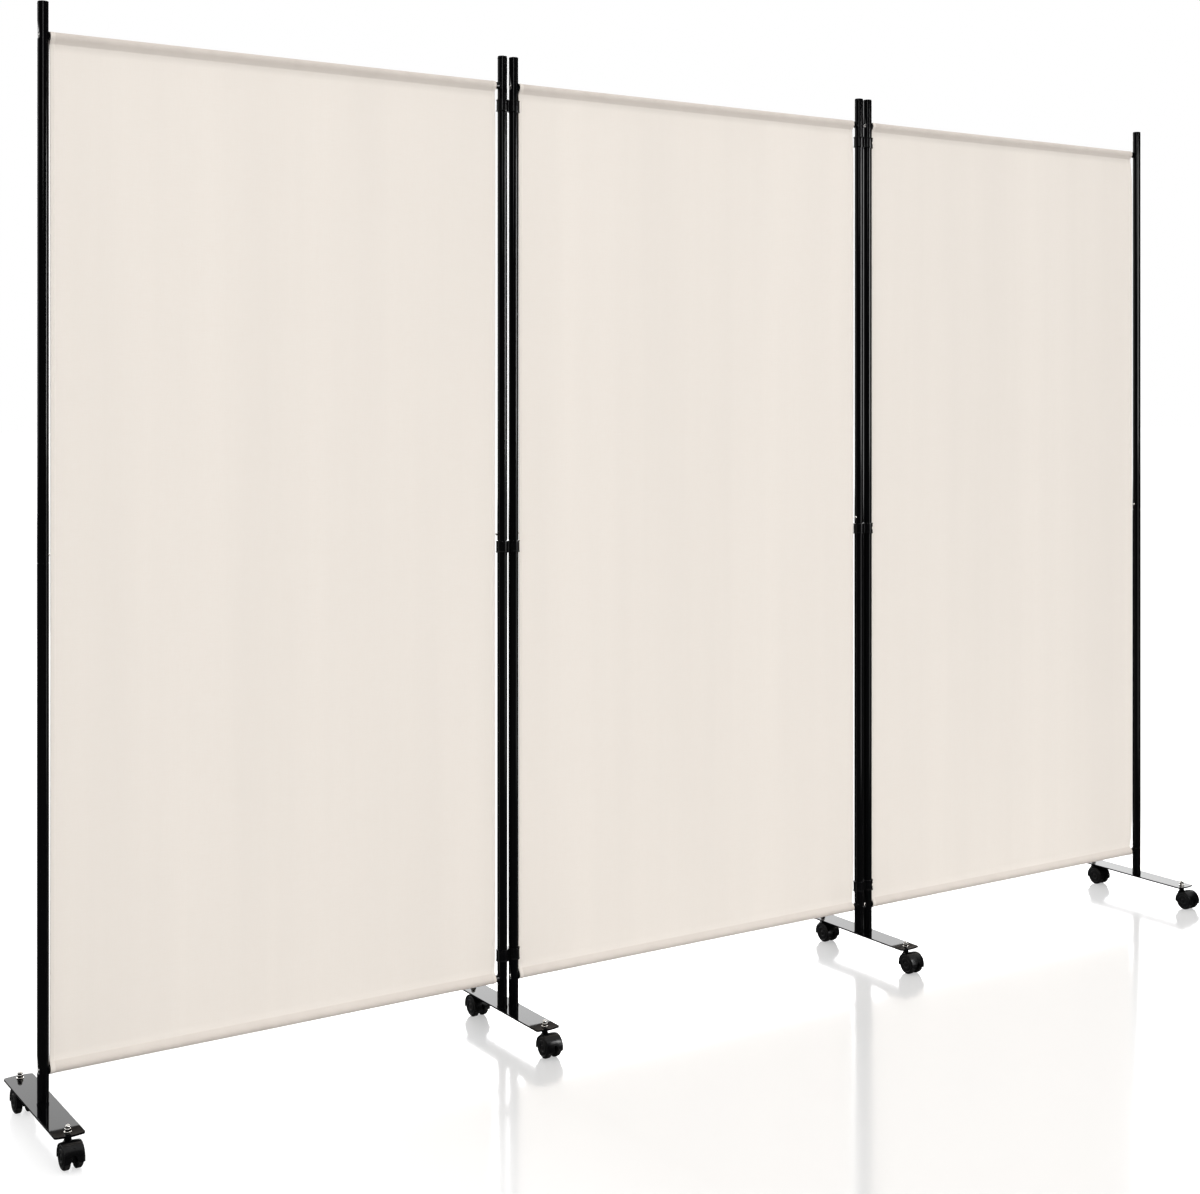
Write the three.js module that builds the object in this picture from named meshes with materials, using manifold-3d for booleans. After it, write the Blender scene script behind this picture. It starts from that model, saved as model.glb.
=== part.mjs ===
// Three-panel rolling privacy screen: round steel posts, stretched fabric, turning bases, twin-wheel casters.
// Units are millimetres. X runs along the panels, -Y is the front and +Z is up; the floor is at Z = 0.
import * as THREE from 'three';
import { mergeVertices } from 'three/addons/utils/BufferGeometryUtils.js';
import Module from 'manifold-3d';

const wasm = await Module();
wasm.setup();

// Overall sizes
const screenHeight = 1803;
const panelPitch = 842; // between the axes of one panel's two posts
const pairPitch = 24; // between the axes of two neighbouring posts on a shared base
const jointHeight = 910; // where the upper half of a post meets the lower half

// Clearances shared by every seat
const seatGap = 0.3;
const cutOverrun = 2;
const weldTolerance = 0.0005;

// Post tubes
const postRadius = 9;
const postWall = 1;
const neckWall = 1.1; // the swaged end of the lower half, inside the upper half
const neckLength = 45;
const capThickness = 2;
const capCrown = 1.6;
const dimpleRadius = 8;
const dimpleDepth = 3.3;
const boltHoleRadius = 3.2;

// Crossbars
const barRadius = 6.35;
const barWall = 0.9;
const barDrop = 55; // top bar axis below the post tops
const barLift = 54; // bottom bar axis above the base plates
const plugDepth = 14;
const threadHoleRadius = 2.5;
const saddleLength = 2.4; // how far a saddle stands out between its post and the cloth
const saddleHeight = 12.5;
const saddleWidth = 16;

// Fabric
const clothThickness = 1;
const clothEdgeGap = 3.2; // bare crossbar and saddle between a post and the cloth
const sleeveHeight = 20;
const sleeveGap = 0.3;

// Base plates and their pegs
const plateLength = 294;
const plateWidth = 48;
const plateThickness = 3;
const plateCorner = 6;
const plateBulge = 2.5; // how far the arched ends swell past their corners
const pegHeight = 40;
const pegChamfer = 2;
const collarRadius = 9.7;
const collarHeight = 3;
const stemInset = 16; // stem axis from the end of the plate
const stemHoleRadius = 3.3;

// Hinge clips
const clipHeight = 22;
const clipWall = 2.4;
const clipWeb = 9;
const topClipDrop = 80.5; // top face of the highest clip below the post tops
const lowClipLift = 24.75; // lower face of the lowest clip above the bottom crossbar's saddles
const forkGap = 5;
const forkDepth = 6;

// Twin-wheel casters
const casterHeight = 47; // floor to the underside of the plate
const wheelRadius = 20;
const wheelWidth = 10.5;
const wheelEdge = 2.4;
const wheelCrown = 0.8;
const hubRadius = 12;
const wheelInnerGap = 0.5;
const axleRadius = 2.5;
const casterTrail = 16; // axle behind the stem
const hoodRadius = 22;
const hoodShell = 1.2;
const hoodEdge = 1.2;
const hoodWeb = 10; // thickness of the web between the wheels
const hubWebRadius = 11;
const skirtDrop = 5.5; // how far the hood reaches below the axle at its front and rear
const notchRise = 6;
const notchHalfWidth = 7;
const notchDepth = 7;
const eyeRadius = 2;
const eyeDepth = 4;
const neckRadius = 5.5;

// Stems and their nuts
const pinRadius = 3.3;
const pinDepth = 20;
const shoulderHeight = 1;
const threadRadius = 3;
const washerRadius = 6.25;
const washerHeight = 1.5;
const nutWidth = 10; // across the flats
const nutHeight = 7.5; // with the collar that holds its locking ring
const threadShow = 1;

// Angles, shares and facet counts
const eye_angle = THREE.MathUtils.degToRad(42);
const post_sides = 16;
const dimple_sides = 8;
const bar_sides = 12;
const wheel_sides = 20;
const hood_sides = 16;
const pin_sides = 8;
const bolt_sides = 6;
const corner_steps = 4;
const sleeve_steps = 14;
const hex_sides = 6;
const half_share = 0.5;

// Sizes worked out from those above
const plateTop = casterHeight + plateThickness;
const collarTop = plateTop + collarHeight;
const topBarHeight = screenHeight - barDrop;
const bottomBarHeight = plateTop + barLift;
const stemOffset = plateLength * half_share - stemInset;
const boreRadius = postRadius - postWall;
const innerFit = boreRadius - seatGap; // outside of whatever slides into a post
const barSpan = panelPitch - 2 * (postRadius + seatGap);
const clothLength = panelPitch - 2 * (postRadius + clothEdgeGap);
const outerPost = panelPitch * (1 + half_share) + pairPitch;
const innerPost = panelPitch * half_share;
const frontReach = stemOffset + casterTrail + hoodRadius;
const centreShift = (frontReach - plateLength * half_share) * half_share;

// Finishes
const blackPaint = new THREE.MeshStandardMaterial({ color: 0x0b0b0c, roughness: 0.18, metalness: 0.3 });
const blackPlate = new THREE.MeshStandardMaterial({ color: 0x08080a, roughness: 0.06, metalness: 0.5 });
const blackPlastic = new THREE.MeshStandardMaterial({ color: 0x161616, roughness: 0.45, metalness: 0 });
const wheelPlastic = new THREE.MeshStandardMaterial({ color: 0x1b1b1c, roughness: 0.55, metalness: 0 });
const nickel = new THREE.MeshStandardMaterial({ color: 0xc9c6bf, roughness: 0.22, metalness: 1 });
const creamCloth = new THREE.MeshStandardMaterial({ color: 0xefe6da, roughness: 0.9, metalness: 0 });

// Turns a closed three.js geometry into a solid that can be joined and cut.
function toSolid(geometry) {
  const bare = geometry.clone();
  bare.deleteAttribute('normal');
  bare.deleteAttribute('uv');
  const welded = mergeVertices(bare, weldTolerance);
  const corners = Array.from(welded.index.array);
  const kept = [];
  for (let i = 0; i < corners.length; i += 3) {
    const [a, b, c] = corners.slice(i, i + 3);
    if (a !== b && b !== c && c !== a) kept.push(a, b, c);
  }
  return new wasm.Manifold(new wasm.Mesh({
    numProp: 3,
    vertProperties: welded.attributes.position.array,
    triVerts: new Uint32Array(kept),
  }));
}

// Turns a finished solid back into a geometry.
function toGeometry(solid) {
  const { vertProperties, triVerts } = solid.getMesh();
  const geometry = new THREE.BufferGeometry();
  geometry.setAttribute('position', new THREE.BufferAttribute(vertProperties, 3));
  geometry.setIndex(new THREE.BufferAttribute(triVerts, 1));
  geometry.computeVertexNormals();
  return geometry;
}

// A named piece of the screen.
function piece(name, solid, material, place = [0, 0, 0]) {
  const mesh = new THREE.Mesh(toGeometry(solid), material);
  mesh.name = name;
  mesh.position.set(...place);
  return mesh;
}

// Revolves a closed profile of [radius, height] pairs about Z; flats face the axes of X and Y.
function turned(profile, sides) {
  const grow = 1 / Math.cos(Math.PI / sides);
  const points = profile.map(([radius, height]) => new THREE.Vector2(radius * grow, height));
  const shape = new THREE.LatheGeometry(points, sides, Math.PI / sides);
  shape.rotateX(Math.PI / 2);
  return toSolid(shape);
}

// A rod standing on z = low.
function rod(radius, low, high, sides) {
  return turned([[0, low], [radius, low], [radius, high], [0, high]], sides);
}

// The same shape laid along X, with what pointed up now pointing to +X.
function alongX(solid) {
  return solid.rotate([0, 90, 0]);
}

// A box given by its lowest and highest corners.
function block(low, high) {
  const size = high.map((value, i) => value - low[i]);
  const shape = new THREE.BoxGeometry(...size);
  shape.translate(...low.map((value, i) => (value + high[i]) * half_share));
  return toSolid(shape);
}

// A ball centred on a point.
function ball(radius, centre) {
  const shape = new THREE.SphereGeometry(radius, dimple_sides, dimple_sides * half_share);
  shape.translate(...centre);
  return toSolid(shape);
}

// Presses a dimple with a bolt hole into the -X or +X side of a post wall. The dimple keeps the wall's
// thickness, and the hole runs on through the far wall to the crossbar.
function dimpled(outer, bore, height, side) {
  const reach = postRadius - dimpleDepth + dimpleRadius;
  const centre = [side * reach, 0, height];
  const pressed = outer.subtract(ball(dimpleRadius, centre));
  const hollow = bore.subtract(ball(dimpleRadius + postWall, centre));
  const hole = alongX(rod(boltHoleRadius, -postRadius - cutOverrun, postRadius + cutOverrun, bolt_sides));
  return pressed.subtract(hollow).subtract(hole.translate([0, 0, height]));
}

// Lower half of a post: a plain tube that stands on the collar, with a swaged neck at its top.
function lowerPost(side) {
  const foot = collarTop + seatGap;
  const neckTop = jointHeight + neckLength;
  const outer = rod(postRadius, foot, jointHeight, post_sides)
    .add(rod(innerFit, jointHeight - postWall, neckTop, post_sides));
  const shoulder = jointHeight - 2 * postWall;
  const bore = rod(boreRadius, foot - cutOverrun, shoulder, post_sides)
    .add(rod(innerFit - neckWall, shoulder - cutOverrun, neckTop + cutOverrun, post_sides));
  return dimpled(outer, bore, bottomBarHeight, side);
}

// Upper half of a post: slides over the neck and is closed by a crowned cap.
function upperPost(side) {
  const foot = jointHeight + seatGap;
  const crown = [
    [0, foot], [postRadius, foot], [postRadius, screenHeight - capCrown],
    [postRadius - capCrown, screenHeight], [0, screenHeight],
  ];
  const outer = turned(crown, post_sides);
  const bore = rod(boreRadius, foot - cutOverrun, screenHeight - capThickness, post_sides);
  return dimpled(outer, bore, topBarHeight, side);
}

// Crossbar centred on its panel: a tube with plugged, tapped ends. Each end is cut to the round of its post
// and carries a saddle, a strip of a ring that hugs the post.
function crossbar() {
  const axis = panelPitch * half_share;
  const plugFace = barSpan * half_share - plugDepth;
  const inside = postRadius + seatGap;
  const outside = inside + saddleLength;
  const hollow = rod(barRadius - barWall, -plugFace, plugFace, bar_sides)
    .add(rod(threadHoleRadius, -axis, axis, pin_sides));
  let bar = rod(barRadius, -axis, axis, bar_sides);
  const rise = saddleHeight * half_share;
  const side = saddleWidth * half_share;
  const strip = block([-axis, -side, -rise], [axis, side, rise]);
  let post = rod(inside, -saddleHeight, saddleHeight, post_sides);
  post = post.translate([axis, 0, 0]).add(post.translate([-axis, 0, 0]));
  let ring = rod(outside, -rise, rise, post_sides);
  ring = ring.translate([axis, 0, 0]).add(ring.translate([-axis, 0, 0]));
  bar = alongX(bar).add(ring.intersect(strip));
  return bar.subtract(alongX(hollow)).subtract(post);
}

// Section of the cloth in Y and Z, seen along X: a flat sheet that ends in a drop-shaped sleeve round
// each crossbar. The sleeve's outside is a circle round the bar and two straight flanks that meet the sheet.
function clothSection() {
  const inside = barRadius + sleeveGap;
  const outside = inside + clothThickness;
  const sheet = clothThickness * half_share;
  const low = bottomBarHeight;
  const high = topBarHeight;
  const stitch = sleeveHeight - outside; // stitch line from the bar's axis, towards the sheet's middle
  const lean = Math.acos(outside / stitch);
  const outline = new THREE.Shape();
  outline.moveTo(sheet, low + stitch);
  outline.lineTo(sheet, high - stitch);
  const turn = Math.PI - 2 * lean;
  for (let i = 0; i <= sleeve_steps; i += 1) {
    const angle = -turn * half_share + (turn + Math.PI) * (i / sleeve_steps);
    outline.lineTo(outside * Math.cos(angle), high + outside * Math.sin(angle));
  }
  outline.lineTo(-sheet, high - stitch);
  outline.lineTo(-sheet, low + stitch);
  for (let i = 0; i <= sleeve_steps; i += 1) {
    const angle = Math.PI - turn * half_share + (turn + Math.PI) * (i / sleeve_steps);
    outline.lineTo(outside * Math.cos(angle), low + outside * Math.sin(angle));
  }
  outline.closePath();
  for (const height of [low, high]) {
    const hole = new THREE.Path();
    hole.absarc(0, height, inside / Math.cos(Math.PI / bar_sides), 0, 2 * Math.PI, true);
    outline.holes.push(hole);
  }
  return outline;
}

// The cloth of one panel, centred on it.
function cloth() {
  const shape = new THREE.ExtrudeGeometry(clothSection(), {
    depth: clothLength, bevelEnabled: false, curveSegments: bar_sides * half_share,
  });
  shape.translate(0, 0, -clothLength * half_share);
  shape.rotateX(Math.PI / 2);
  shape.rotateZ(Math.PI / 2);
  return toSolid(shape);
}

// Outline of a base plate, seen from above: straight sides, rounded corners and arched ends.
function plateOutline() {
  const side = plateWidth * half_share;
  const corner = plateLength * half_share - plateBulge;
  const tip = corner + 2 * plateBulge; // control point of an arc that rises by the bulge
  const outline = new THREE.Shape();
  outline.moveTo(side, -corner + plateCorner);
  outline.lineTo(side, corner - plateCorner);
  outline.quadraticCurveTo(side, corner, side - plateCorner, corner);
  outline.quadraticCurveTo(0, tip, -side + plateCorner, corner);
  outline.quadraticCurveTo(-side, corner, -side, corner - plateCorner);
  outline.lineTo(-side, -corner + plateCorner);
  outline.quadraticCurveTo(-side, -corner, -side + plateCorner, -corner);
  outline.quadraticCurveTo(0, -tip, side - plateCorner, -corner);
  outline.quadraticCurveTo(side, -corner, side, -corner + plateCorner);
  return outline;
}

// Base plate with a welded collar and peg under each post, and a hole for each caster stem.
function basePlate(pegPlaces) {
  const shape = new THREE.ExtrudeGeometry(plateOutline(), {
    depth: plateThickness, bevelEnabled: false, curveSegments: corner_steps,
  });
  shape.translate(0, 0, casterHeight);
  let plate = toSolid(shape);
  for (const x of pegPlaces) {
    const pegTop = plateTop + pegHeight;
    const peg = turned([
      [0, plateTop - plateThickness * half_share], [collarRadius, plateTop - plateThickness * half_share],
      [collarRadius, collarTop], [innerFit, collarTop], [innerFit, pegTop - pegChamfer],
      [innerFit - pegChamfer, pegTop], [0, pegTop],
    ], post_sides);
    plate = plate.add(peg.translate([x, 0, 0]));
  }
  for (const y of [-stemOffset, stemOffset]) {
    const hole = rod(stemHoleRadius, casterHeight - cutOverrun, plateTop + cutOverrun, pin_sides);
    plate = plate.subtract(hole.translate([0, y, 0]));
  }
  return plate;
}

// Hinge clip round both posts of a pair, standing on z = 0. A forked clip has its right ring parted into
// two fingers at the outermost side.
function hingeClip(forked) {
  const inside = postRadius + seatGap;
  const outside = inside + clipWall;
  const half = pairPitch * half_share;
  let clip = block([-half, -clipWeb * half_share, 0], [half, clipWeb * half_share, clipHeight]);
  for (const x of [-half, half]) {
    clip = clip.add(rod(outside, 0, clipHeight, post_sides).translate([x, 0, 0]));
  }
  for (const x of [-half, half]) {
    const bore = rod(inside, -cutOverrun, clipHeight + cutOverrun, post_sides);
    clip = clip.subtract(bore.translate([x, 0, 0]));
  }
  if (forked) {
    const middle = clipHeight * half_share;
    const right = half + outside;
    const low = [right - forkDepth, -outside, middle - forkGap * half_share];
    const high = [right + cutOverrun, outside, middle + forkGap * half_share];
    clip = clip.subtract(block(low, high));
  }
  return clip;
}

// Hood of a caster, with the axle at the origin, the wheels at +X and -X and the stem towards +Y. A disc is
// cut off below its skirt and hollowed for the two wheels, which leaves a fender over each and a web between.
function casterHood() {
  const half = hoodWeb * half_share + wheelInnerGap + wheelWidth;
  const cavity = hoodRadius - hoodShell;
  const neckTop = casterHeight - wheelRadius - shoulderHeight - seatGap;
  const drum = alongX(turned([
    [0, -half], [hoodRadius - hoodEdge, -half], [hoodRadius, -half + hoodEdge],
    [hoodRadius, half - hoodEdge], [hoodRadius - hoodEdge, half], [0, half],
  ], hood_sides));
  const past = hoodRadius + cutOverrun;
  const below = block([-half - cutOverrun, -past, -past], [half + cutOverrun, past, -skirtDrop]);
  const neck = rod(neckRadius, 0, neckTop, pin_sides).translate([0, casterTrail, 0]);
  const webHalf = hoodWeb * half_share;
  let hood = drum.subtract(below).add(neck).add(alongX(rod(hubWebRadius, -webHalf, webHalf, hood_sides)));
  for (const side of [-1, 1]) {
    const [near, far] = side > 0 ? [webHalf, half + cutOverrun] : [-half - cutOverrun, -webHalf];
    hood = hood.subtract(alongX(rod(cavity, near, far, hood_sides)));
  }
  hood = hood.subtract(rearNotch()).subtract(rearEye());
  const socket = rod(pinRadius + seatGap, neckTop - pinDepth - seatGap, neckTop + cutOverrun, pin_sides);
  hood = hood.subtract(socket.translate([0, casterTrail, 0]));
  return hood.subtract(alongX(rod(axleRadius + seatGap, -half, half, pin_sides)));
}

// Wedge cut out of the hood's rear edge, between the wheels.
function rearNotch() {
  const outline = new THREE.Shape();
  outline.moveTo(-notchHalfWidth, -skirtDrop - cutOverrun);
  outline.lineTo(notchHalfWidth, -skirtDrop - cutOverrun);
  outline.lineTo(0, notchRise);
  outline.closePath();
  const wedge = new THREE.ExtrudeGeometry(outline, { depth: notchDepth + cutOverrun, bevelEnabled: false });
  wedge.rotateX(Math.PI / 2);
  wedge.translate(0, notchDepth - hoodRadius, 0);
  return toSolid(wedge);
}

// Small blind eye high on the hood's rear.
function rearEye() {
  const bit = rod(eyeRadius, hoodRadius - eyeDepth, hoodRadius + cutOverrun, pin_sides);
  return bit.rotate([THREE.MathUtils.radToDeg(eye_angle), 0, 0]);
}

// Both wheels of a caster with the axle that they are pressed on, about X at the origin.
function wheelPair() {
  const inner = hoodWeb * half_share + wheelInnerGap;
  const outer = inner + wheelWidth;
  const rim = wheelRadius - wheelEdge;
  const profile = [
    [0, outer], [hubRadius, outer], [rim, outer - wheelCrown],
    [wheelRadius, outer - wheelCrown - wheelEdge], [wheelRadius, inner], [axleRadius, inner],
  ];
  const left = profile.map(([radius, x]) => [radius, -x]);
  return alongX(turned([...left, ...profile.reverse()], wheel_sides));
}

// Caster stem with its shoulder, thread, washers and nut; the stem's axis is the origin.
function stem() {
  const pinLow = casterHeight - shoulderHeight - pinDepth;
  const washerTop = plateTop + seatGap + washerHeight;
  const nutTop = washerTop + nutHeight;
  const tip = nutTop + threadShow;
  const under = casterHeight - seatGap;
  const spindle = turned([
    [0, pinLow], [pinRadius, pinLow], [pinRadius, under - shoulderHeight],
    [neckRadius, under - shoulderHeight], [neckRadius, under], [threadRadius, under],
    [threadRadius, plateTop + seatGap], [washerRadius, plateTop + seatGap], [washerRadius, washerTop],
    [threadRadius, washerTop], [threadRadius, tip], [0, tip],
  ], pin_sides);
  return spindle.add(rod(nutWidth * half_share, washerTop, nutTop, hex_sides));
}

// Lays out one panel between its two posts; the left post's number and x give the panel's place.
function panel(name, number, left) {
  const group = new THREE.Group();
  const centre = left + panelPitch * half_share;
  for (const [offset, side] of [[0, -1], [1, 1]]) {
    const x = left + panelPitch * offset;
    const post = `post_${number + offset}`;
    group.add(piece(`${post}_lower`, lowerPost(side), blackPaint, [x, 0, 0]));
    group.add(piece(`${post}_upper`, upperPost(side), blackPaint, [x, 0, 0]));
  }
  group.add(piece(`${name}_top_crossbar`, crossbar(), blackPaint, [centre, 0, topBarHeight]));
  group.add(piece(`${name}_bottom_crossbar`, crossbar(), blackPaint, [centre, 0, bottomBarHeight]));
  group.add(piece(`${name}_fabric`, cloth(), creamCloth, [centre, 0, 0]));
  return group;
}

// Lays out one caster; every caster trails towards the front.
function caster(name, x, y) {
  const group = new THREE.Group();
  group.position.set(x, y, 0);
  group.add(piece(`${name}_stem`, stem(), nickel));
  group.add(piece(`${name}_hood`, casterHood(), blackPlastic, [0, -casterTrail, wheelRadius]));
  group.add(piece(`${name}_wheels`, wheelPair(), wheelPlastic, [0, -casterTrail, wheelRadius]));
  return group;
}

// Lays out a base plate with its two casters, and the three clips of a shared base.
function base(number, x, pegPlaces, clipName, forked) {
  const group = new THREE.Group();
  group.add(piece(`base_plate_${number}`, basePlate(pegPlaces), blackPlate, [x, 0, 0]));
  group.add(caster(`caster_${number}_front`, x, -stemOffset));
  group.add(caster(`caster_${number}_rear`, x, stemOffset));
  if (!clipName) return group;
  const feet = {
    top: screenHeight - topClipDrop - clipHeight,
    middle: jointHeight - clipHeight,
    bottom: bottomBarHeight + saddleHeight * half_share + lowClipLift,
  };
  for (const [level, foot] of Object.entries(feet)) {
    group.add(piece(`${clipName}_clip_${level}`, hingeClip(forked), blackPlastic, [x, 0, foot]));
  }
  return group;
}

const screen = new THREE.Group();
const halfPair = pairPitch * half_share;
screen.add(panel('left', 1, -outerPost));
screen.add(panel('middle', 3, -innerPost));
screen.add(panel('right', 5, innerPost + pairPitch));
screen.add(base(1, -outerPost, [0]));
screen.add(base(2, -innerPost - halfPair, [-halfPair, halfPair], 'left', false));
screen.add(base(3, innerPost + halfPair, [-halfPair, halfPair], 'right', true));
screen.add(base(4, outerPost, [0]));
screen.position.y = centreShift; // centres the footprint, whose front casters reach past the plates

export default screen;
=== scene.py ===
"""Dresses a three-panel rolling privacy screen for a studio picture.

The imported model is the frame: every size and place that belongs to a fit is read from it. Each
sub-assembly is a class that works its surfaces out as whole arrays and turns them into meshes, and each
finish is a small class that makes one node material. Lengths are in metres, X runs along the panels, -Y is
the front and +Z is up.
"""

import logging
import math
from abc import ABC, abstractmethod
from dataclasses import dataclass, field
from enum import Enum
from typing import Callable, Iterable, Sequence

import bmesh
import bpy
import numpy as np
from mathutils import Matrix, Vector
from numpy.typing import NDArray

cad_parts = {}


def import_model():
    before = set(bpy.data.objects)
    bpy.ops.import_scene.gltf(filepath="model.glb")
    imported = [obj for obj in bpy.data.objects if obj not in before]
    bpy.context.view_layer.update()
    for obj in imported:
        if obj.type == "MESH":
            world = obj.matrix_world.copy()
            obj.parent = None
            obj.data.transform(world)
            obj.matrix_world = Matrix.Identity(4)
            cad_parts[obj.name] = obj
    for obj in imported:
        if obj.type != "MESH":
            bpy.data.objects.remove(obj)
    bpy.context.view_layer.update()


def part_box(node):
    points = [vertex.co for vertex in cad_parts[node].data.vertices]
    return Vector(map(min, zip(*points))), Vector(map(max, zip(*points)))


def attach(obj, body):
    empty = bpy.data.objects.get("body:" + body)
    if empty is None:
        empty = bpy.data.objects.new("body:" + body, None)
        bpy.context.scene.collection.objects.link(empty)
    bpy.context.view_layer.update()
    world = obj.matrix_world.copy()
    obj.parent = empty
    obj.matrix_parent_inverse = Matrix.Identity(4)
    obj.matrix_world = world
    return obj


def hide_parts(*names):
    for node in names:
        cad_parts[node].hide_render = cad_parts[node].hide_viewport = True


Array = NDArray[np.float64]
Numbers = NDArray[np.int64]
Colour = tuple[float, float, float]
Place = tuple[float, float, float]
Span = tuple[float, float]
Socket = bpy.types.NodeSocket
Press = Callable[[Array, Array, Array], Array]

log = logging.getLogger("screen")

MM = 0.001
WELD = 0.001 * MM


class Turn(Enum):
    """The direction of the axis that a profile is revolved about."""

    UP = "z"
    ALONG = "x"


@dataclass
class Shell:
    """One closed surface, before it becomes part of a mesh.

    Attributes:
        corners: places of the corners, one row each.
        quads: corner numbers of the four-sided faces.
        caps: corner numbers of the faces with any other count.
    """

    corners: Array
    quads: Numbers
    caps: list[Numbers] = field(default_factory=list)

    def moved(self, by: Sequence[float]) -> "Shell":
        """Returns a copy shifted by a vector."""
        return Shell(self.corners + np.asarray(by), self.quads, self.caps)

    def mirrored(self, axis: int) -> "Shell":
        """Mirrors the shell in the plane where one coordinate is zero.

        Args:
            axis: number of that coordinate.

        Returns:
            The copy, its faces turned to point outwards again.
        """
        flip = np.ones(3)
        flip[axis] = -1
        return Shell(self.corners * flip, self.quads[:, ::-1], [cap[::-1] for cap in self.caps])


@dataclass(frozen=True)
class Upright:
    """Where an upright round piece stands, read from its node's box."""

    x: float
    y: float
    radius: float
    low: float
    high: float

    @classmethod
    def of(cls, node: str) -> "Upright":
        """Returns the axis, radius and heights of a node."""
        low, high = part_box(node)
        return cls((low.x + high.x) / 2, (low.y + high.y) / 2, (high.y - low.y) / 2, low.z, high.z)


def post_at(number: int) -> Upright:
    """Returns where a post stands, read from its lower half."""
    return Upright.of(f"post_{number}_lower")


def smooth_step(value: Array | float, low: float, high: float) -> Array:
    """Rises from 0 at low to 1 at high: t * t * (3 - 2 t), where t is the clipped share of the way."""
    share = np.clip((np.asarray(value, float) - low) / (high - low), 0.0, 1.0)
    return share * share * (3 - 2 * share)


def arc(centre: tuple[float, float], radius: float, start: float, end: float, steps: int = 5) -> Array:
    """Points of a circle: centre + radius (cos a, sin a), with a running from start to end.

    Args:
        centre: middle of the circle.
        radius: its radius.
        start: first angle, in degrees.
        end: last angle, in degrees.
        steps: how many stretches the arc has.
    """
    angle = np.radians(np.linspace(start, end, steps + 1))
    return np.stack([centre[0] + radius * np.cos(angle), centre[1] + radius * np.sin(angle)], axis=1)


def rounded(points: Sequence[tuple[float, float, float]], closed: bool = False, steps: int = 5) -> Array:
    """A polyline whose corners are replaced by arcs that touch both of their sides.

    Each arc's centre lies on the corner's bisector, at radius / sin(half of the corner's angle) from it.

    Args:
        points: corners as (across, along, radius of the rounding).
        closed: whether the last corner is joined to the first.
        steps: how many stretches each arc has.

    Returns:
        The points of the rounded line, two columns.
    """
    spots = np.array([point[:2] for point in points], float)
    made: list[Array] = []
    for i, (*_, radius) in enumerate(points):
        here = spots[i]
        if radius <= 0 or (not closed and i in (0, len(points) - 1)):
            made.append(here[None])
            continue
        back, ahead = spots[i - 1] - here, spots[(i + 1) % len(points)] - here
        back, ahead = back / np.linalg.norm(back), ahead / np.linalg.norm(ahead)
        half = math.acos(float(np.clip(back @ ahead, -1, 1))) / 2
        bisector = (back + ahead) / np.linalg.norm(back + ahead)
        centre = here + bisector * radius / math.sin(half)
        first, last = here + back * radius / math.tan(half), here + ahead * radius / math.tan(half)
        start = math.atan2(*(first - centre)[::-1])
        sweep = math.atan2(*(last - centre)[::-1]) - start
        sweep = (sweep + math.pi) % (2 * math.pi) - math.pi
        made.append(arc(tuple(centre), radius, math.degrees(start), math.degrees(start + sweep), steps))
    return np.concatenate(made)


def lattice(grid: Array, wrap_rows: bool = False, wrap_columns: bool = False, caps: bool = False) -> Shell:
    """Joins a grid of places into quads.

    Corner (i, j) is joined to (i, j + 1), (i + 1, j + 1) and (i + 1, j). A wrapped direction joins its last
    line to its first.

    Args:
        grid: places, (rows, columns, 3).
        wrap_rows: whether the rows run round.
        wrap_columns: whether the columns run round.
        caps: whether the first and the last row are closed with one face each.

    Returns:
        The joined shell.
    """
    rows, columns = grid.shape[:2]
    number = np.arange(rows * columns).reshape(rows, columns)
    here = number if wrap_rows else number[:-1]
    ahead = np.roll(number, -1, axis=0) if wrap_rows else number[1:]
    if wrap_columns:
        quads = np.stack([here, np.roll(here, -1, 1), np.roll(ahead, -1, 1), ahead], axis=-1)
    else:
        quads = np.stack([here[:, :-1], here[:, 1:], ahead[:, 1:], ahead[:, :-1]], axis=-1)
    ends = [number[0][::-1], number[-1]] if caps else []
    return Shell(grid.reshape(-1, 3), quads.reshape(-1, 4), ends)


def between(front: Array, back: Array) -> Shell:
    """Closes the space between two skins with a strip along each of their four borders.

    Args:
        front: one skin as a grid of places, (rows, columns, 3).
        back: the other skin, with the same shape.

    Returns:
        The closed shell.
    """
    rows, columns = front.shape[:2]
    near = np.arange(rows * columns).reshape(rows, columns)
    far = near + rows * columns
    faces = [lattice(front).quads, lattice(back).quads[:, ::-1] + rows * columns]
    for line, other in ((near[0], far[0]), (near[-1][::-1], far[-1][::-1]),
                        (near[::-1, 0], far[::-1, 0]), (near[:, -1], far[:, -1])):
        faces.append(np.stack([line[:-1], other[:-1], other[1:], line[1:]], axis=-1))
    corners = np.concatenate([front.reshape(-1, 3), back.reshape(-1, 3)])
    return Shell(corners, np.concatenate(faces))


def wound(radius: Array, height: Array, angle: Array, turn: Turn = Turn.UP, loop: bool = False) -> Shell:
    """Joins rings round an axis through the origin: (radius cos a, radius sin a, height).

    Args:
        radius: radius of every point, (rings, columns).
        height: height of every ring, (rings, 1).
        angle: angle of every column.
        turn: direction of the axis.
        loop: whether the last ring is joined to the first.

    Returns:
        The shell, open beyond its first and its last ring unless it is a loop.
    """
    across, side, along = radius * np.cos(angle), radius * np.sin(angle), height + 0 * angle
    order = [across, side, along] if turn is Turn.UP else [along, across, side]
    return lattice(np.stack(order, axis=-1), wrap_rows=loop, wrap_columns=True)


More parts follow.
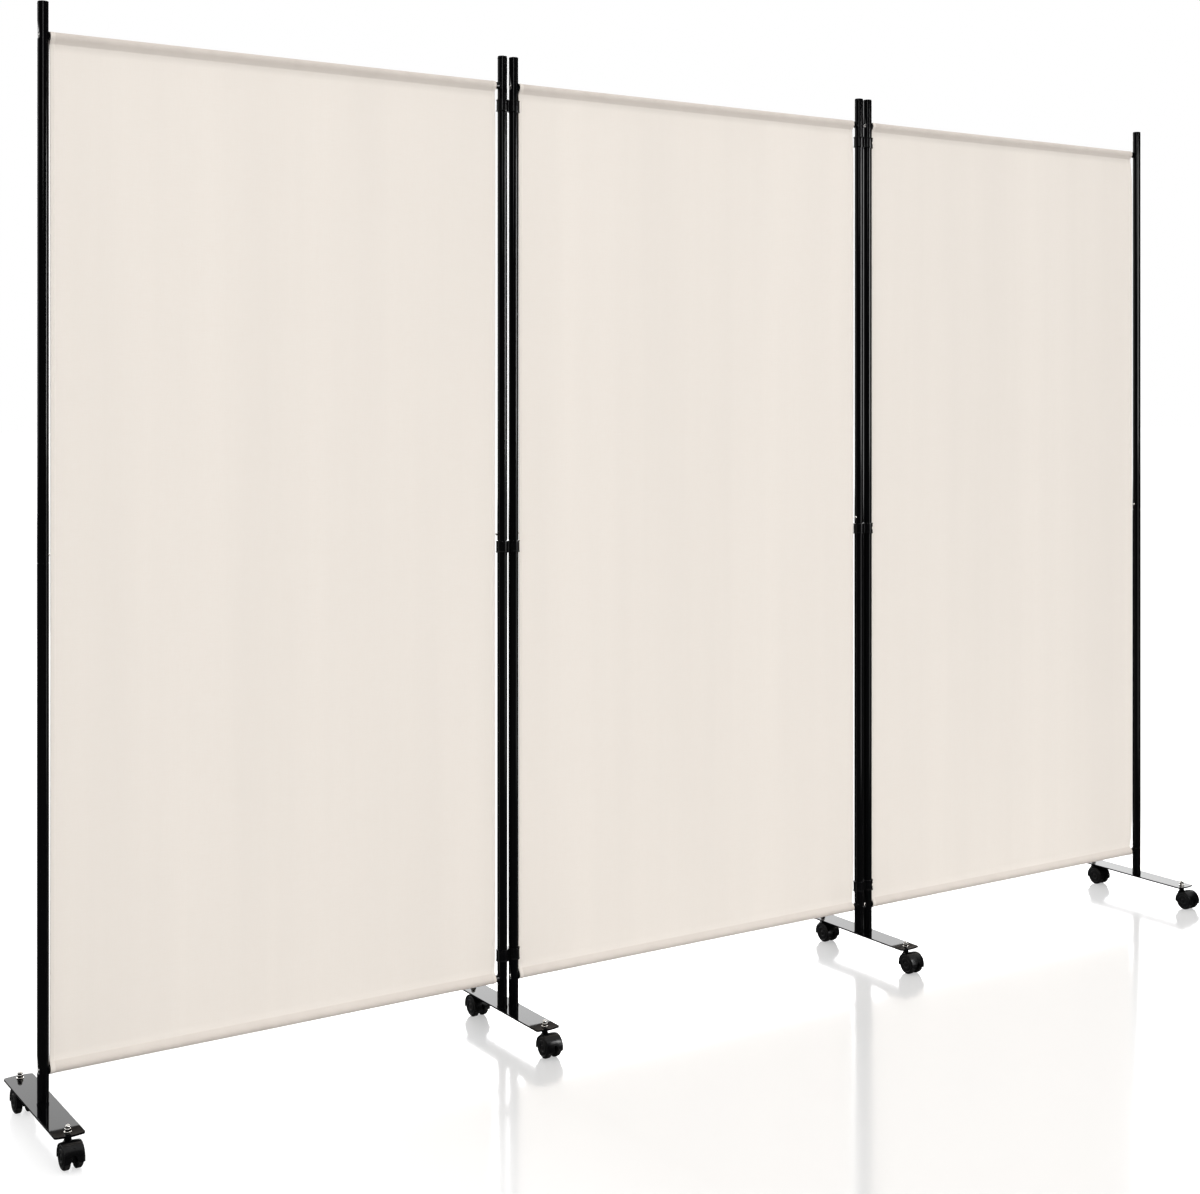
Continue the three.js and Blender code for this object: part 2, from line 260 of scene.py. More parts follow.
def turned(profile: Array, sides: int, centre: Sequence[float] = (0, 0, 0), turn: Turn = Turn.UP,
           loop: bool = False, press: Press | None = None) -> Shell:
    """Revolves a profile once round an axis.

    Args:
        profile: rows of (radius, height). It starts and ends on the axis, unless it is a loop.
        sides: how many columns go round.
        centre: place of the axis at height zero.
        turn: direction of the axis.
        loop: whether the profile's last row is joined to its first.
        press: gives the radius of every grid point from the arrays of radius, height and angle.

    Returns:
        The closed shell.
    """
    angle = np.linspace(0, 2 * np.pi, sides, endpoint=False)[None]
    radius, height = profile[:, :1], profile[:, 1:]
    wide = radius + 0 * angle if press is None else press(radius, height, angle)
    return wound(wide, height, angle, turn, loop).moved(centre)


def off_flat(angle: Array) -> Array:
    """Angle from the middle of a hexagon's nearest flat: (a + 30 degrees) modulo 60 degrees, less 30."""
    return (angle + math.pi / 6) % (math.pi / 3) - math.pi / 6


def slab(outline: Array, levels: Sequence[tuple[float, float]], order: Sequence[int] = (0, 1, 2)) -> Shell:
    """Stacks insets of a closed outline and closes the first and the last with a face.

    A ring is the outline moved inwards along its own normals, which are its tangent turned by a right angle.

    Args:
        outline: counterclockwise points, two columns.
        levels: (inset, height) of each ring.
        order: which of (first, second, height) becomes x, y and z.

    Returns:
        The closed shell.
    """
    tangent = np.roll(outline, -1, axis=0) - np.roll(outline, 1, axis=0)
    inward = np.stack([-tangent[:, 1], tangent[:, 0]], axis=1)
    inward /= np.linalg.norm(inward, axis=1, keepdims=True)
    inset, height = np.array(levels, float).T
    flat = outline[None] + inset[:, None, None] * inward[None]
    tall = np.broadcast_to(height[:, None, None], (*flat.shape[:2], 1))
    grid = np.concatenate([flat, tall], axis=-1)[..., list(order)]
    return lattice(grid, wrap_columns=True, caps=True)


def eased(height: float, bevel: float, hold: float, steps: int = 4) -> list[tuple[float, float]]:
    """Levels of a slab with rounded edges and a ring that holds each flat face flat.

    Args:
        height: thickness of the slab, which starts at zero.
        bevel: radius of its edges.
        hold: width of the flat strip next to the rounding.
        steps: how many stretches each rounding has.

    Returns:
        Rows of (inset, height).
    """
    angles = np.linspace(0, math.pi / 2, steps + 1)
    low = [(bevel * (1 - math.sin(angle)), bevel * (1 - math.cos(angle))) for angle in angles]
    high = [(inset, height - rise) for inset, rise in reversed(low)]
    return [(bevel + hold, 0.0), *low, *high, (bevel + hold, height)]


def stood(name: str, data: bpy.types.ID) -> bpy.types.Object:
    """Makes an object of its data and puts it into the scene.

    Args:
        name: the object's name.
        data: its mesh, lamp or camera.

    Returns:
        The object.
    """
    made = bpy.data.objects.new(name, data)
    bpy.context.scene.collection.objects.link(made)
    return made


def build(name: str, shells: Iterable[Shell], finish: "Finish", sharp: float = 38.0) -> bpy.types.Object:
    """Makes one object of closed shells, with its normals pointing out.

    Args:
        name: the object's name.
        shells: its surfaces.
        finish: what it is made of.
        sharp: edges that turn by more than this angle, in degrees, stay crisp.

    Returns:
        The object, which stands in the scene.
    """
    corners, faces, start = [], [], 0
    for shell in shells:
        corners.append(shell.corners)
        faces += (shell.quads + start).tolist() + [(cap + start).tolist() for cap in shell.caps]
        start += len(shell.corners)
    mesh = bpy.data.meshes.new(name)
    mesh.from_pydata(np.concatenate(corners), [], faces)
    tidy(mesh)
    mesh.materials.append(finish.material())
    crisp(mesh, sharp)
    return stood(name, mesh)


def tidy(mesh: bpy.types.Mesh) -> None:
    """Merges corners that share a place, drops loose ones and turns every closed surface outwards.

    Args:
        mesh: the mesh, which is changed in place.
    """
    work = bmesh.new()
    work.from_mesh(mesh)
    bmesh.ops.remove_doubles(work, verts=work.verts, dist=WELD)
    bmesh.ops.delete(work, geom=[corner for corner in work.verts if not corner.link_faces], context="VERTS")
    bmesh.ops.recalc_face_normals(work, faces=work.faces)
    work.to_mesh(mesh)
    work.free()


def crisp(mesh: bpy.types.Mesh, sharp: float) -> None:
    """Shades a mesh smooth, except over edges that turn by more than an angle in degrees."""
    mesh.polygons.foreach_set("use_smooth", np.ones(len(mesh.polygons), bool))
    mesh.set_sharp_from_angle(angle=math.radians(sharp))


def corners_of(mesh: bpy.types.Mesh) -> Array:
    """Reads the places of a mesh's corners.

    Args:
        mesh: the mesh.

    Returns:
        One row for each corner.
    """
    places = np.empty(len(mesh.vertices) * 3)
    mesh.vertices.foreach_get("co", places)
    return places.reshape(-1, 3)


def mark(mesh: bpy.types.Mesh, name: str, values: Array) -> None:
    """Gives every corner of a mesh a named number."""
    mesh.attributes.new(name, "FLOAT", "POINT").data.foreach_set("value", values)


def carved(body: bpy.types.Object, cutters: Sequence[bpy.types.Object],
           sharp: float = 38.0) -> bpy.types.Object:
    """Cuts solids out of a piece and removes them.

    Args:
        body: the piece.
        cutters: the solids.
        sharp: edges that turn by more than this angle, in degrees, stay crisp.

    Returns:
        The piece, with a new mesh.
    """
    for cutter in cutters:
        step = body.modifiers.new(cutter.name, "BOOLEAN")
        step.operation, step.solver, step.object = "DIFFERENCE", "EXACT", cutter
    ready = body.evaluated_get(bpy.context.evaluated_depsgraph_get())
    mesh = bpy.data.meshes.new_from_object(ready)
    body.modifiers.clear()
    body.data = mesh
    for cutter in cutters:
        bpy.data.objects.remove(cutter)
    tidy(mesh)
    crisp(mesh, sharp)
    return body


def copied(pattern: bpy.types.Object, name: str, by: Sequence[float]) -> bpy.types.Object:
    """Copies a piece to another place, which goes into the copy's mesh.

    Args:
        pattern: the piece to copy.
        name: the copy's name.
        by: how far it is shifted.

    Returns:
        The copy.
    """
    mesh = pattern.data.copy()
    mesh.transform(Matrix.Translation(Vector(by)))
    return stood(name, mesh)


def seat(piece: bpy.types.Object, body: str, slot: str, *nodes: str) -> bpy.types.Object:
    """Lets a piece ride on a body and hides the CAD nodes that it stands for.

    Args:
        piece: the piece.
        body: name of the body.
        slot: not used.
        nodes: names of the nodes.

    Returns:
        The same piece.
    """
    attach(piece, body)
    if nodes:
        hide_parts(*nodes)
    log.info("%s on %s, %d faces", piece.name, body, len(piece.data.polygons))
    return piece


class NodeSketch:
    """Adds nodes to a new material or world and joins them."""

    def __init__(self, made: bpy.types.Material | bpy.types.World) -> None:
        """Starts from the shader that a new material or world comes with.

        Args:
            made: the material or world.
        """
        made.use_nodes = True
        self.made, self.tree = made, made.node_tree
        self.shader = self.tree.nodes.get("Principled BSDF") or self.tree.nodes["Background"]

    def add(self, kind: str, **values: object) -> bpy.types.Node:
        """Adds a node and sets its own properties.

        Args:
            kind: the node's type.
            values: its properties by name.

        Returns:
            The node.
        """
        node = self.tree.nodes.new(kind)
        for key, value in values.items():
            setattr(node, key, value)
        return node

    def join(self, source: object, target: Socket) -> None:
        """Links a socket, or writes a plain value, to an input.

        Args:
            source: the socket or value.
            target: the input.
        """
        if isinstance(source, Socket):
            self.tree.links.new(source, target)
        else:
            target.default_value = source

    def feed(self, name: str, source: object) -> None:
        """Sets an input of the shader by its name."""
        self.join(source, self.shader.inputs[name])

    def filled(self, kind: str, inputs: dict[str | int, object], **values: object) -> Socket:
        """Adds a node and fills some of its inputs.

        Args:
            kind: the node's type.
            inputs: what goes into it, by the input's name or number.
            values: its properties by name.

        Returns:
            The node's first output.
        """
        node = self.add(kind, **values)
        for key, source in inputs.items():
            self.join(source, node.inputs[key])
        return node.outputs[0]

    def place(self, stretch: Place = (1, 1, 1), turn: Place = (0, 0, 0)) -> Socket:
        """Returns object coordinates, stretched and turned."""
        where = self.add("ShaderNodeTexCoord").outputs["Object"]
        return self.filled("ShaderNodeMapping", {"Vector": where, "Scale": stretch, "Rotation": turn})

    def noise(self, where: Socket, scale: float, detail: float = 3, rough: float = 0.5,
              twist: float = 0) -> Socket:
        """Returns a noise from 0 to 1."""
        return self.filled("ShaderNodeTexNoise", {"Vector": where, "Scale": scale, "Detail": detail,
                                                  "Roughness": rough, "Distortion": twist})

    def span(self, value: object, low: float, high: float, start: float, end: float) -> Socket:
        """Carries the range low to high over to start to end, and clips it there."""
        return self.filled("ShaderNodeMapRange", {"Value": value, "From Min": low, "From Max": high,
                                                  "To Min": start, "To Max": end})

    def calc(self, operation: str, first: object, second: object = 0.0) -> Socket:
        """Returns a sum, product or other operation on two numbers."""
        return self.filled("ShaderNodeMath", {0: first, 1: second}, operation=operation)

    def blend(self, share: object, first: object, second: object) -> Socket:
        """Mixes two colours.

        Args:
            share: share of the second colour.
            first: the colour at share 0.
            second: the colour at share 1.

        Returns:
            The mixed colour.
        """
        node = self.add("ShaderNodeMix", data_type="RGBA")
        sockets = {socket.identifier: socket for socket in node.inputs}
        for key, source in (("Factor_Float", share), ("A_Color", first), ("B_Color", second)):
            value = (*source, 1.0) if isinstance(source, tuple) else source
            self.join(value, sockets[key])
        return next(socket for socket in node.outputs if socket.identifier == "Result_Color")

    def relief(self, height: object, depth: float, strength: float = 1.0) -> None:
        """Feeds a bump to the shader's normal, over any bump before it.

        Args:
            height: the relief, from 0 to 1.
            depth: what 1 stands for, in metres.
            strength: share of the bump that shows.
        """
        inputs = {"Distance": depth, "Strength": strength, "Height": height}
        before = self.shader.inputs["Normal"].links
        if before:
            inputs["Normal"] = before[0].from_socket
        self.feed("Normal", self.filled("ShaderNodeBump", inputs))

    def mask(self, name: str) -> Socket:
        """Returns a named attribute of the mesh as a number."""
        return self.add("ShaderNodeAttribute", attribute_name=name).outputs["Fac"]

    def parts(self, where: Socket) -> list[Socket]:
        """Returns the three numbers of a place."""
        return list(self.filled("ShaderNodeSeparateXYZ", {0: where}).node.outputs)

    def end(self, surface: Socket) -> bpy.types.Material:
        """Lets another shader take the first one's place.

        Args:
            surface: the other shader's output.

        Returns:
            The material.
        """
        self.tree.nodes.remove(self.shader)
        self.join(surface, self.tree.nodes["Material Output"].inputs["Surface"])
        return self.made


@dataclass(frozen=True)
class Finish(ABC):
    """What a surface is made of.

    Attributes:
        name: the material's name.
        colour: its linear base colour.
        roughness: the middle of its roughness.
        specular: how strongly a bare surface mirrors.
        metallic: 1 for bare metal.
    """

    name: str
    colour: Colour
    roughness: float
    specular: float = 0.5
    metallic: float = 0.0

    def material(self) -> bpy.types.Material:
        """Makes the material the first time that it is asked for.

        Returns:
            The material.
        """
        known = bpy.data.materials.get(self.name)
        if known:
            return known
        sketch = NodeSketch(bpy.data.materials.new(self.name))
        sketch.feed("Base Color", (*self.colour, 1.0))
        sketch.feed("Roughness", self.roughness)
        sketch.feed("Specular IOR Level", self.specular)
        sketch.feed("Metallic", self.metallic)
        self.detail(sketch)
        return sketch.made

    @abstractmethod
    def detail(self, sketch: NodeSketch) -> None:
        """Adds what makes this finish more than a flat colour."""

    def vary(self, sketch: NodeSketch, cloud: object, reach: Span, share: Span) -> Socket:
        """Lets the roughness run over a share of its middle while a number runs over its reach.

        Args:
            sketch: the material's nodes.
            cloud: the number.
            reach: its lowest and highest value.
            share: shares of the roughness at those two.

        Returns:
            The roughness.
        """
        rough = sketch.span(cloud, *reach, self.roughness * share[0], self.roughness * share[1])
        sketch.feed("Roughness", rough)
        return rough

    def tint(self, share: float, lift: float = 0.0) -> Colour:
        """Returns the base colour times a share, lifted by the same amount in every channel."""
        return tuple(channel * share + lift for channel in self.colour)


@dataclass(frozen=True)
class PostPaint(Finish):
    """Sprayed black gloss paint: a faint orange peel, soft clouds in its gloss and a few specks of dust."""

    def detail(self, sketch: NodeSketch) -> None:
        """Adds the peel, the clouds and the specks.

        Args:
            sketch: the material's nodes.
        """
        where = sketch.place()
        self.vary(sketch, sketch.noise(where, 28, 4, 0.55), (0.35, 0.7), (0.8, 1.35))
        specks = sketch.span(sketch.noise(where, 900, 1), 0.74, 0.8, 0, 0.5)
        sketch.feed("Base Color", sketch.blend(specks, self.colour, self.tint(5, 0.006)))
        sketch.relief(sketch.noise(where, 420, 1), 0.012 * MM)
        sketch.relief(sketch.noise(where, 1600, 2), 0.004 * MM)


@dataclass(frozen=True)
class PlateLacquer(Finish):
    """Black lacquer as smooth as glass, with hairline scratches and a little dust."""

    def detail(self, sketch: NodeSketch) -> None:
        """Adds scratches that run along two slanting directions, and dust.

        Args:
            sketch: the material's nodes.
        """
        scratches: object = 0.0
        for slant in (0.35, -0.9):
            lines = sketch.noise(sketch.place((18, 900, 1), (0, 0, slant)), 1.6, 2, 0.6, 0.4)
            scratches = sketch.calc("ADD", scratches, sketch.span(lines, 0.66, 0.74, 0, 1))
        dust = sketch.span(sketch.noise(sketch.place(), 1300, 2), 0.7, 0.78, 0, 0.35)
        sketch.feed("Base Color", sketch.blend(dust, self.colour, (0.05, 0.05, 0.05)))
        rough = self.vary(sketch, sketch.noise(sketch.place(), 22, 3), (0.3, 0.75), (0.6, 1.6))
        sketch.feed("Roughness", sketch.calc("ADD", rough, sketch.calc("MULTIPLY", scratches, 0.06)))
        sketch.relief(scratches, 0.002 * MM)


@dataclass(frozen=True)
class MouldedPlastic(Finish):
    """Moulded black plastic with a spark-eroded grain and rubbed, slightly lighter spots."""

    grain: float = 0.02 * MM

    def detail(self, sketch: NodeSketch) -> None:
        """Adds the grain and the rubbed spots.

        Args:
            sketch: the material's nodes.
        """
        where = sketch.place()
        rubbed = sketch.span(sketch.noise(where, 90, 5, 0.6), 0.52, 0.75, 0, 1)
        sketch.feed("Base Color", sketch.blend(rubbed, self.colour, self.tint(1.7, 0.002)))
        self.vary(sketch, rubbed, (0, 1), (1, 0.75))
        sketch.relief(sketch.noise(where, 2600, 2, 0.6), self.grain)


@dataclass(frozen=True)
class WheelNylon(Finish):
    """Hard black nylon, scuffed and dusty where it rolls."""

    def detail(self, sketch: NodeSketch) -> None:
        """Adds scuffs, a mask of tread dust that the mesh carries, and fine grit.

        Args:
            sketch: the material's nodes.
        """
        where = sketch.place()
        tread = sketch.mask("tread")
        scuffs = sketch.span(sketch.noise(where, 240, 6, 0.7), 0.45, 0.75, 0, 1)
        dusty = sketch.calc("MULTIPLY", tread, sketch.span(scuffs, 0, 1, 0.25, 0.9))
        sketch.feed("Base Color", sketch.blend(dusty, self.colour, (0.035, 0.033, 0.031)))
        sketch.feed("Roughness", sketch.span(dusty, 0, 1, self.roughness, 0.8))
        sketch.relief(sketch.noise(where, 1500, 4, 0.65), 0.03 * MM)


@dataclass(frozen=True)
class NickelPlate(Finish):
    """Bright nickel over turned steel: fine rings round the vertical axis and cloudy plating."""

    def detail(self, sketch: NodeSketch) -> None:
        """Adds the rings, as noise that changes fast with height, and the clouds.

        Args:
            sketch: the material's nodes.
        """
        rings = sketch.noise(sketch.place((1, 1, 40)), 260, 2)
        clouds = sketch.noise(sketch.place(), 350, 3)
        self.vary(sketch, clouds, (0.3, 0.7), (0.7, 1.5))
        patches = sketch.span(clouds, 0.35, 0.7, 0, 1)
        sketch.feed("Base Color", sketch.blend(patches, self.colour, self.tint(0.82)))
        sketch.relief(rings, 0.006 * MM)


@dataclass(frozen=True)
class PanelCloth(Finish):
    """Cream polyester cloth in plain weave.

    Attributes:
        thread: pitch of the weave.
        hem: colour of the painted shade on the sleeves, which stands in for the dark bar behind the thin
            cloth.
        warmth: share of each channel that the slubs keep.
    """

    thread: float = 0.62 * MM
    hem: Colour = (0.585, 0.525, 0.475)
    warmth: Colour = (0.95, 0.93, 0.9)

    def detail(self, sketch: NodeSketch) -> None:
        """Adds the weave, slubs, faint upright bands and painted shade on the sleeves.

        The weave's height is sin(x) sin(y) plus the finer sin(2x) and sin(2y) of single threads.

        Args:
            sketch: the material's nodes.
        """
        across, along, _ = sketch.parts(sketch.add("ShaderNodeUVMap", uv_map="cut").outputs["UV"])
        warp, weft = (sketch.calc("MULTIPLY", axis, math.pi / self.thread) for axis in (across, along))
        crossing = sketch.calc("MULTIPLY", sketch.calc("SINE", warp), sketch.calc("SINE", weft))
        where = sketch.place()
        bands = sketch.noise(sketch.place((9, 9, 0.35)), 1.0, 4, 0.55)
        slubs = sketch.noise(sketch.place((60, 60, 1400)), 1.0, 2)
        threads = sketch.noise(sketch.place((1400, 60, 60)), 1.0, 2)
        ground = sketch.blend(sketch.span(bands, 0.3, 0.7, 0, 1), self.tint(0.972), self.tint(1.018))
        fibre = sketch.calc("ADD", *(sketch.span(line, 0.35, 0.7, 0, 0.5) for line in (slubs, threads)))
        warm = tuple(channel * share for channel, share in zip(self.colour, self.warmth))
        ground = sketch.blend(sketch.calc("MULTIPLY", fibre, 0.35), ground, warm)
        # Painted shade: the 'hem' mask pulls the sleeves towards the hem colour, in place of the dark bar
        # showing through the cloth.
        uneven = sketch.span(sketch.noise(where, 30, 3), 0.3, 0.7, 0.82, 1)
        shade = sketch.calc("MULTIPLY", sketch.mask("hem"), uneven)
        sketch.feed("Base Color", sketch.blend(shade, ground, self.hem))
        sketch.feed("Sheen Weight", 0.12)
        sketch.feed("Sheen Roughness", 0.5)
        sketch.relief(crossing, 0.035 * MM, 0.7)
        sketch.relief(fibre, 0.05 * MM, 0.6)


@dataclass(frozen=True)
class Thread(Finish):
    """Sewing thread, twisted from two strands."""

    def detail(self, sketch: NodeSketch) -> None:
        """Adds the twist as slanting ridges.

        Args:
            sketch: the material's nodes.
        """
        twist = sketch.noise(sketch.place((3000, 900, 3000), (0.6, 0.6, 0.6)), 1.0, 2)
        strands = sketch.span(twist, 0.4, 0.65, 0, 1)
        sketch.feed("Base Color", sketch.blend(strands, self.colour, self.tint(0.85)))
        sketch.relief(twist, 0.04 * MM)


POST_PAINT = PostPaint("black gloss post paint", (0.0016, 0.0016, 0.0019), 0.13, 0.16)
PLATE_LACQUER = PlateLacquer("black plate lacquer", (0.0015, 0.0015, 0.0018), 0.045, 0.06)
CLIP_PLASTIC = MouldedPlastic("black clip plastic", (0.0018, 0.0018, 0.0021), 0.19, 0.18, grain=0.008 * MM)
HOOD_PLASTIC = MouldedPlastic("black hood plastic", (0.0025, 0.0025, 0.0028), 0.24, 0.22, grain=0.01 * MM)
WHEEL_NYLON = WheelNylon("black wheel nylon", (0.0035, 0.0035, 0.0039), 0.36, 0.25)
NICKEL = NickelPlate("bright nickel", (0.80, 0.78, 0.745), 0.1, metallic=1.0)
CLOTH = PanelCloth("cream panel cloth", (0.86, 0.80, 0.735), 0.88, 0.25)
THREAD = Thread("cream sewing thread", (0.88, 0.83, 0.77), 0.7, 0.3)


@dataclass
class Dimple:
    """The pressed seat of a cap bolt: a long easy taper above it and a short step below it.

    Attributes:
        depth: how deep the seat is pressed.
        half_width: where the seat runs out round the post.
        seat: height of its deepest stretch.
        step: height of the short lower slope.
        taper: height of the long upper slope.
        taper_share: share of the depth that the long slope reaches before the seat.
    """

    depth: float = 3.3 * MM
    half_width: float = 7.2 * MM
    seat: float = 4.7 * MM
    step: float = 3.0 * MM
    taper: float = 25 * MM
    taper_share: float = 0.62

    def rows(self, focus: float) -> Array:
        """Heights at which a wall needs rows to show the dimple at height focus.

        Args:
            focus: height of the dimple's middle.

        Returns:
            The heights, from the lowest up.
        """
        fine = np.linspace(-self.seat / 2 - self.step, self.seat / 2 + self.step, 27)
        coarse = np.linspace(self.seat / 2 + self.step, self.seat / 2 + self.taper, 14)[1:]
        return focus + np.concatenate([fine, coarse])

    def press(self, post: float, focus: float, side: int) -> Press:
        """Returns the function that presses the dimple into a wall.

        The radius loses depth * V * L. V rises over the lower step, is 1 on the seat and falls over the long
        taper. L is the squared cosine of the distance round the post, and zero on the far side.

        Args:
            post: outer radius of the post.
            focus: height of the seat's middle.
            side: -1 or 1 for the side of the post that is pressed.

        Returns:
            The function, of the arrays of radius, height and angle.
        """

        def pressed(radius: Array, height: Array, angle: Array) -> Array:
            rise = height - focus
            lower = smooth_step(rise, -self.seat / 2 - self.step, -self.seat / 2)
            fall = smooth_step(rise, self.seat / 2, self.seat / 2 + self.step)
            slope = smooth_step(self.taper + self.seat / 2 - rise, 0, self.taper)
            upper = 1 - fall * (1 - self.taper_share * slope)
            toward = side * np.cos(angle)
            away = np.clip(np.abs(post * np.sin(angle)) / self.half_width, 0, 1)
            across = np.where(toward > 0, np.cos(np.pi / 2 * away) ** 2, 0)
            return radius - self.depth * lower * upper * across

        return pressed


@dataclass
class Posts:
    """The six posts, each a lower tube with a swaged neck and an upper tube with a crowned cap.

    Attributes:
        coat: how far the paint stands over the steel.
        neck_fit: play of the neck, both round it and under the upper tube.
        hold: stretch next to a rounding that is kept straight.
        cap_band: height of the cap over its groove.
        cap_groove: depth of that groove, and half of its width.
    """

    wall: float = 1.0 * MM
    coat: float = 0.25 * MM
    neck_fit: float = 0.3 * MM
    neck_wall: float = 1.1 * MM
    lip: float = 0.35 * MM
    hold: float = 0.5 * MM
    crown: float = 1.6 * MM
    cap_band: float = 4.7 * MM
    cap_groove: float = 0.3 * MM
    cap_thickness: float = 2.0 * MM
    sides: int = 72
    dimple: Dimple = field(default_factory=Dimple)

    def side_of(self, number: int) -> int:
        """Returns -1 or 1: the side of a post that faces away from its panel."""
        return -1 if number % 2 else 1

    def walls(self, post: Upright, focus: float) -> tuple[list[Array], list[Array]]:
        """Profile points of a tube's outside, from its foot up, and of its inside, from its top down.

        Args:
            post: where the tube stands.
            focus: height of its dimple.

        Returns:
            Stretches of (radius, height) of the outside, and those of the inside.
        """
        outer, bore, lip = post.radius + self.coat, post.radius - self.wall, self.lip
        foot, rows = post.low + lip, self.dimple.rows(focus)
        outside = [arc((outer - lip, foot), lip, -90, 0, 3), np.array([[outer, foot + self.hold]]),
                   np.stack([np.full_like(rows, outer), rows], axis=1)]
        inside = [np.stack([np.full_like(rows, bore), rows[::-1]], axis=1),
                  arc((bore + lip, foot), lip, 180, 270, 3)]
        return outside, inside

    def tube(self, node: str, number: int, body: str, focus: float, profile: list[Array],
             loop: bool = False) -> bpy.types.Object:
        """Revolves the profile of one half, presses its dimple and lets it ride.

        Args:
            node: the half's node.
            number: the post's number, from the left.
            body: what it rides on.
            focus: height of its dimple.
            profile: stretches of the profile, in order.
            loop: whether the profile is closed.

        Returns:
            The finished half.
        """
        post = Upright.of(node)
        shell = turned(np.concatenate(profile), self.sides, (post.x, post.y, 0), loop=loop,
                       press=self.dimple.press(post.radius + self.coat, focus, self.side_of(number)))
        return seat(build(f"{node}_tube", [shell], POST_PAINT), body, "post_paint", node)

    def lower(self, number: int, body: str, focus: float) -> bpy.types.Object:
        """Builds the lower half of one post.

        Args:
            number: the post's number, from the left.
            body: what it rides on.
            focus: height of the bottom crossbar's axis.

        Returns:
            The finished half.
        """
        node = f"post_{number}_lower"
        post = Upright.of(node)
        joint = Upright.of(f"post_{number}_upper").low - self.neck_fit
        outer, bore, lip = post.radius + self.coat, post.radius - self.wall, self.lip
        neck = bore - self.neck_fit
        inner, shoulder = neck - self.neck_wall, joint - 2 * self.wall
        outside, inside = self.walls(post, focus)
        top = [[[outer, joint - lip - self.hold]], arc((outer - lip, joint - lip), lip, 0, 90, 3),
               [[neck, joint], [neck, post.high], [inner, post.high], [inner, shoulder], [bore, shoulder]]]
        return self.tube(node, number, body, focus, [*outside, *top, *inside], loop=True)

    def upper(self, number: int, body: str, focus: float) -> bpy.types.Object:
        """Builds the upper half of one post, with its cap.

        Args:
            number: the post's number, from the left.
            body: what it rides on.
            focus: height of the top crossbar's axis.

        Returns:
            The finished half.
        """
        node = f"post_{number}_upper"
        post = Upright.of(node)
        outer, bore, groove = post.radius + self.coat, post.radius - self.wall, self.cap_groove
        rim, ceiling = post.high - self.cap_band, post.high - self.cap_thickness
        outside, inside = self.walls(post, focus)
        cap = [[[outer, rim - groove - self.hold], [outer, rim - groove], [outer - groove, rim],
                [outer, rim + groove], [outer, rim + groove + self.hold]],
               arc((outer - self.crown, post.high - self.crown), self.crown, 0, 80, 6),
               [[outer * 0.5, post.high - 0.06 * self.crown], [0, post.high]]]
        section = [[[0, ceiling], [bore, ceiling]], *inside, *outside, *cap]
        return self.tube(node, number, body, focus, section)


@dataclass
class Crossbars:
    """Round bars between the posts of a panel, with a saddle that hugs each post.

    Attributes:
        seat_gap: play between a saddle and its post.
        saddle_half: half of a saddle's width, measured round the post.
        saddle_ease: share of its depth over which its edge is crowned.
        saddle_shrink: share of its outline by which the crown draws in.
        saddle_top: share of its outline that the flat top keeps.
    """

    radius: float = 6.35 * MM
    lip: float = 0.4 * MM
    seat_gap: float = 0.3 * MM
    saddle_depth: float = 1.9 * MM
    saddle_height: float = 12.5 * MM
    saddle_half: float = 7.9 * MM
    saddle_round: float = 2.6 * MM
    saddle_ease: float = 0.35
    saddle_shrink: float = 0.16
    saddle_top: float = 0.55
    sides: int = 40

    def axis_height(self, name: str) -> float:
        """Returns the height of a bar's axis."""
        low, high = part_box(name)
        return (low.z + high.z) / 2

    def saddle(self, post: Upright, height: float, side: int) -> Shell:
        """A pad bent round the post.

        Its outline is a rounded rectangle in (distance round the post, height). Point (s, h) at a height of d
        over the post lies at (R + d)(cos(s / R), sin(s / R)), and the rings shrink towards a crowned middle.

        Args:
            post: the post that it hugs.
            height: height of its middle.
            side: -1 or 1 for the side of the post that it lies on.

        Returns:
            The closed shell.
        """
        tall = self.saddle_height / 2
        outline = rounded([(self.saddle_half * u, tall * v, self.saddle_round)
                           for u, v in ((-1, -1), (1, -1), (1, 1), (-1, 1))], closed=True)
        ease = self.saddle_depth * self.saddle_ease
        rings = [(0.0, 0.0), (1.0, 0.0), (1.0, self.saddle_depth - ease)]
        rings += [(1 - self.saddle_shrink * (1 - math.cos(a)), self.saddle_depth - ease * (1 - math.sin(a)))
                  for a in np.linspace(0.3, math.pi / 2, 4)]
        rings += [(self.saddle_top, self.saddle_depth), (0.0, self.saddle_depth)]
        share, rise = np.array(rings).T
        inner = post.radius + self.seat_gap
        round_post = share[:, None] * outline[None, :, 0] / inner
        reach = inner + rise[:, None]
        grid = np.stack([
            post.x + side * reach * np.cos(round_post),
            post.y + reach * np.sin(round_post),
            height + share[:, None] * outline[None, :, 1],
        ], axis=-1)
        return lattice(grid, wrap_columns=True)

    def bar(self, panel: str, level: str, body: str, posts: tuple[Upright, Upright]) -> bpy.types.Object:
        """Builds one bar with both of its saddles.

        Args:
            panel: left, middle or right.
            level: top or bottom.
            body: what it rides on.
            posts: the panel's posts, the left one first.

        Returns:
            The finished bar.
        """
        node = f"{panel}_{level}_crossbar"
        low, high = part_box(node)
        height = self.axis_height(node)
        profile = rounded([(0, low.x, 0), (self.radius, low.x, self.lip), (self.radius, high.x, self.lip),
                           (0, high.x, 0)])
        tube = turned(profile, self.sides, centre=(0, posts[0].y, height), turn=Turn.ALONG)
        shells = [tube, self.saddle(posts[0], height, 1), self.saddle(posts[1], height, -1)]
        return seat(build(f"{panel}_{level}_bar", shells, POST_PAINT), body, "post_paint", node)


# Upright ripples of the cloth: length, weight, share of the panel's phase and lean over its height.
RIPPLES = ((0.118, 1.0, 1.0, 0.5), (0.071, 0.7, 2.3, 0.0), (0.203, 0.5, 1.7, -1.1))


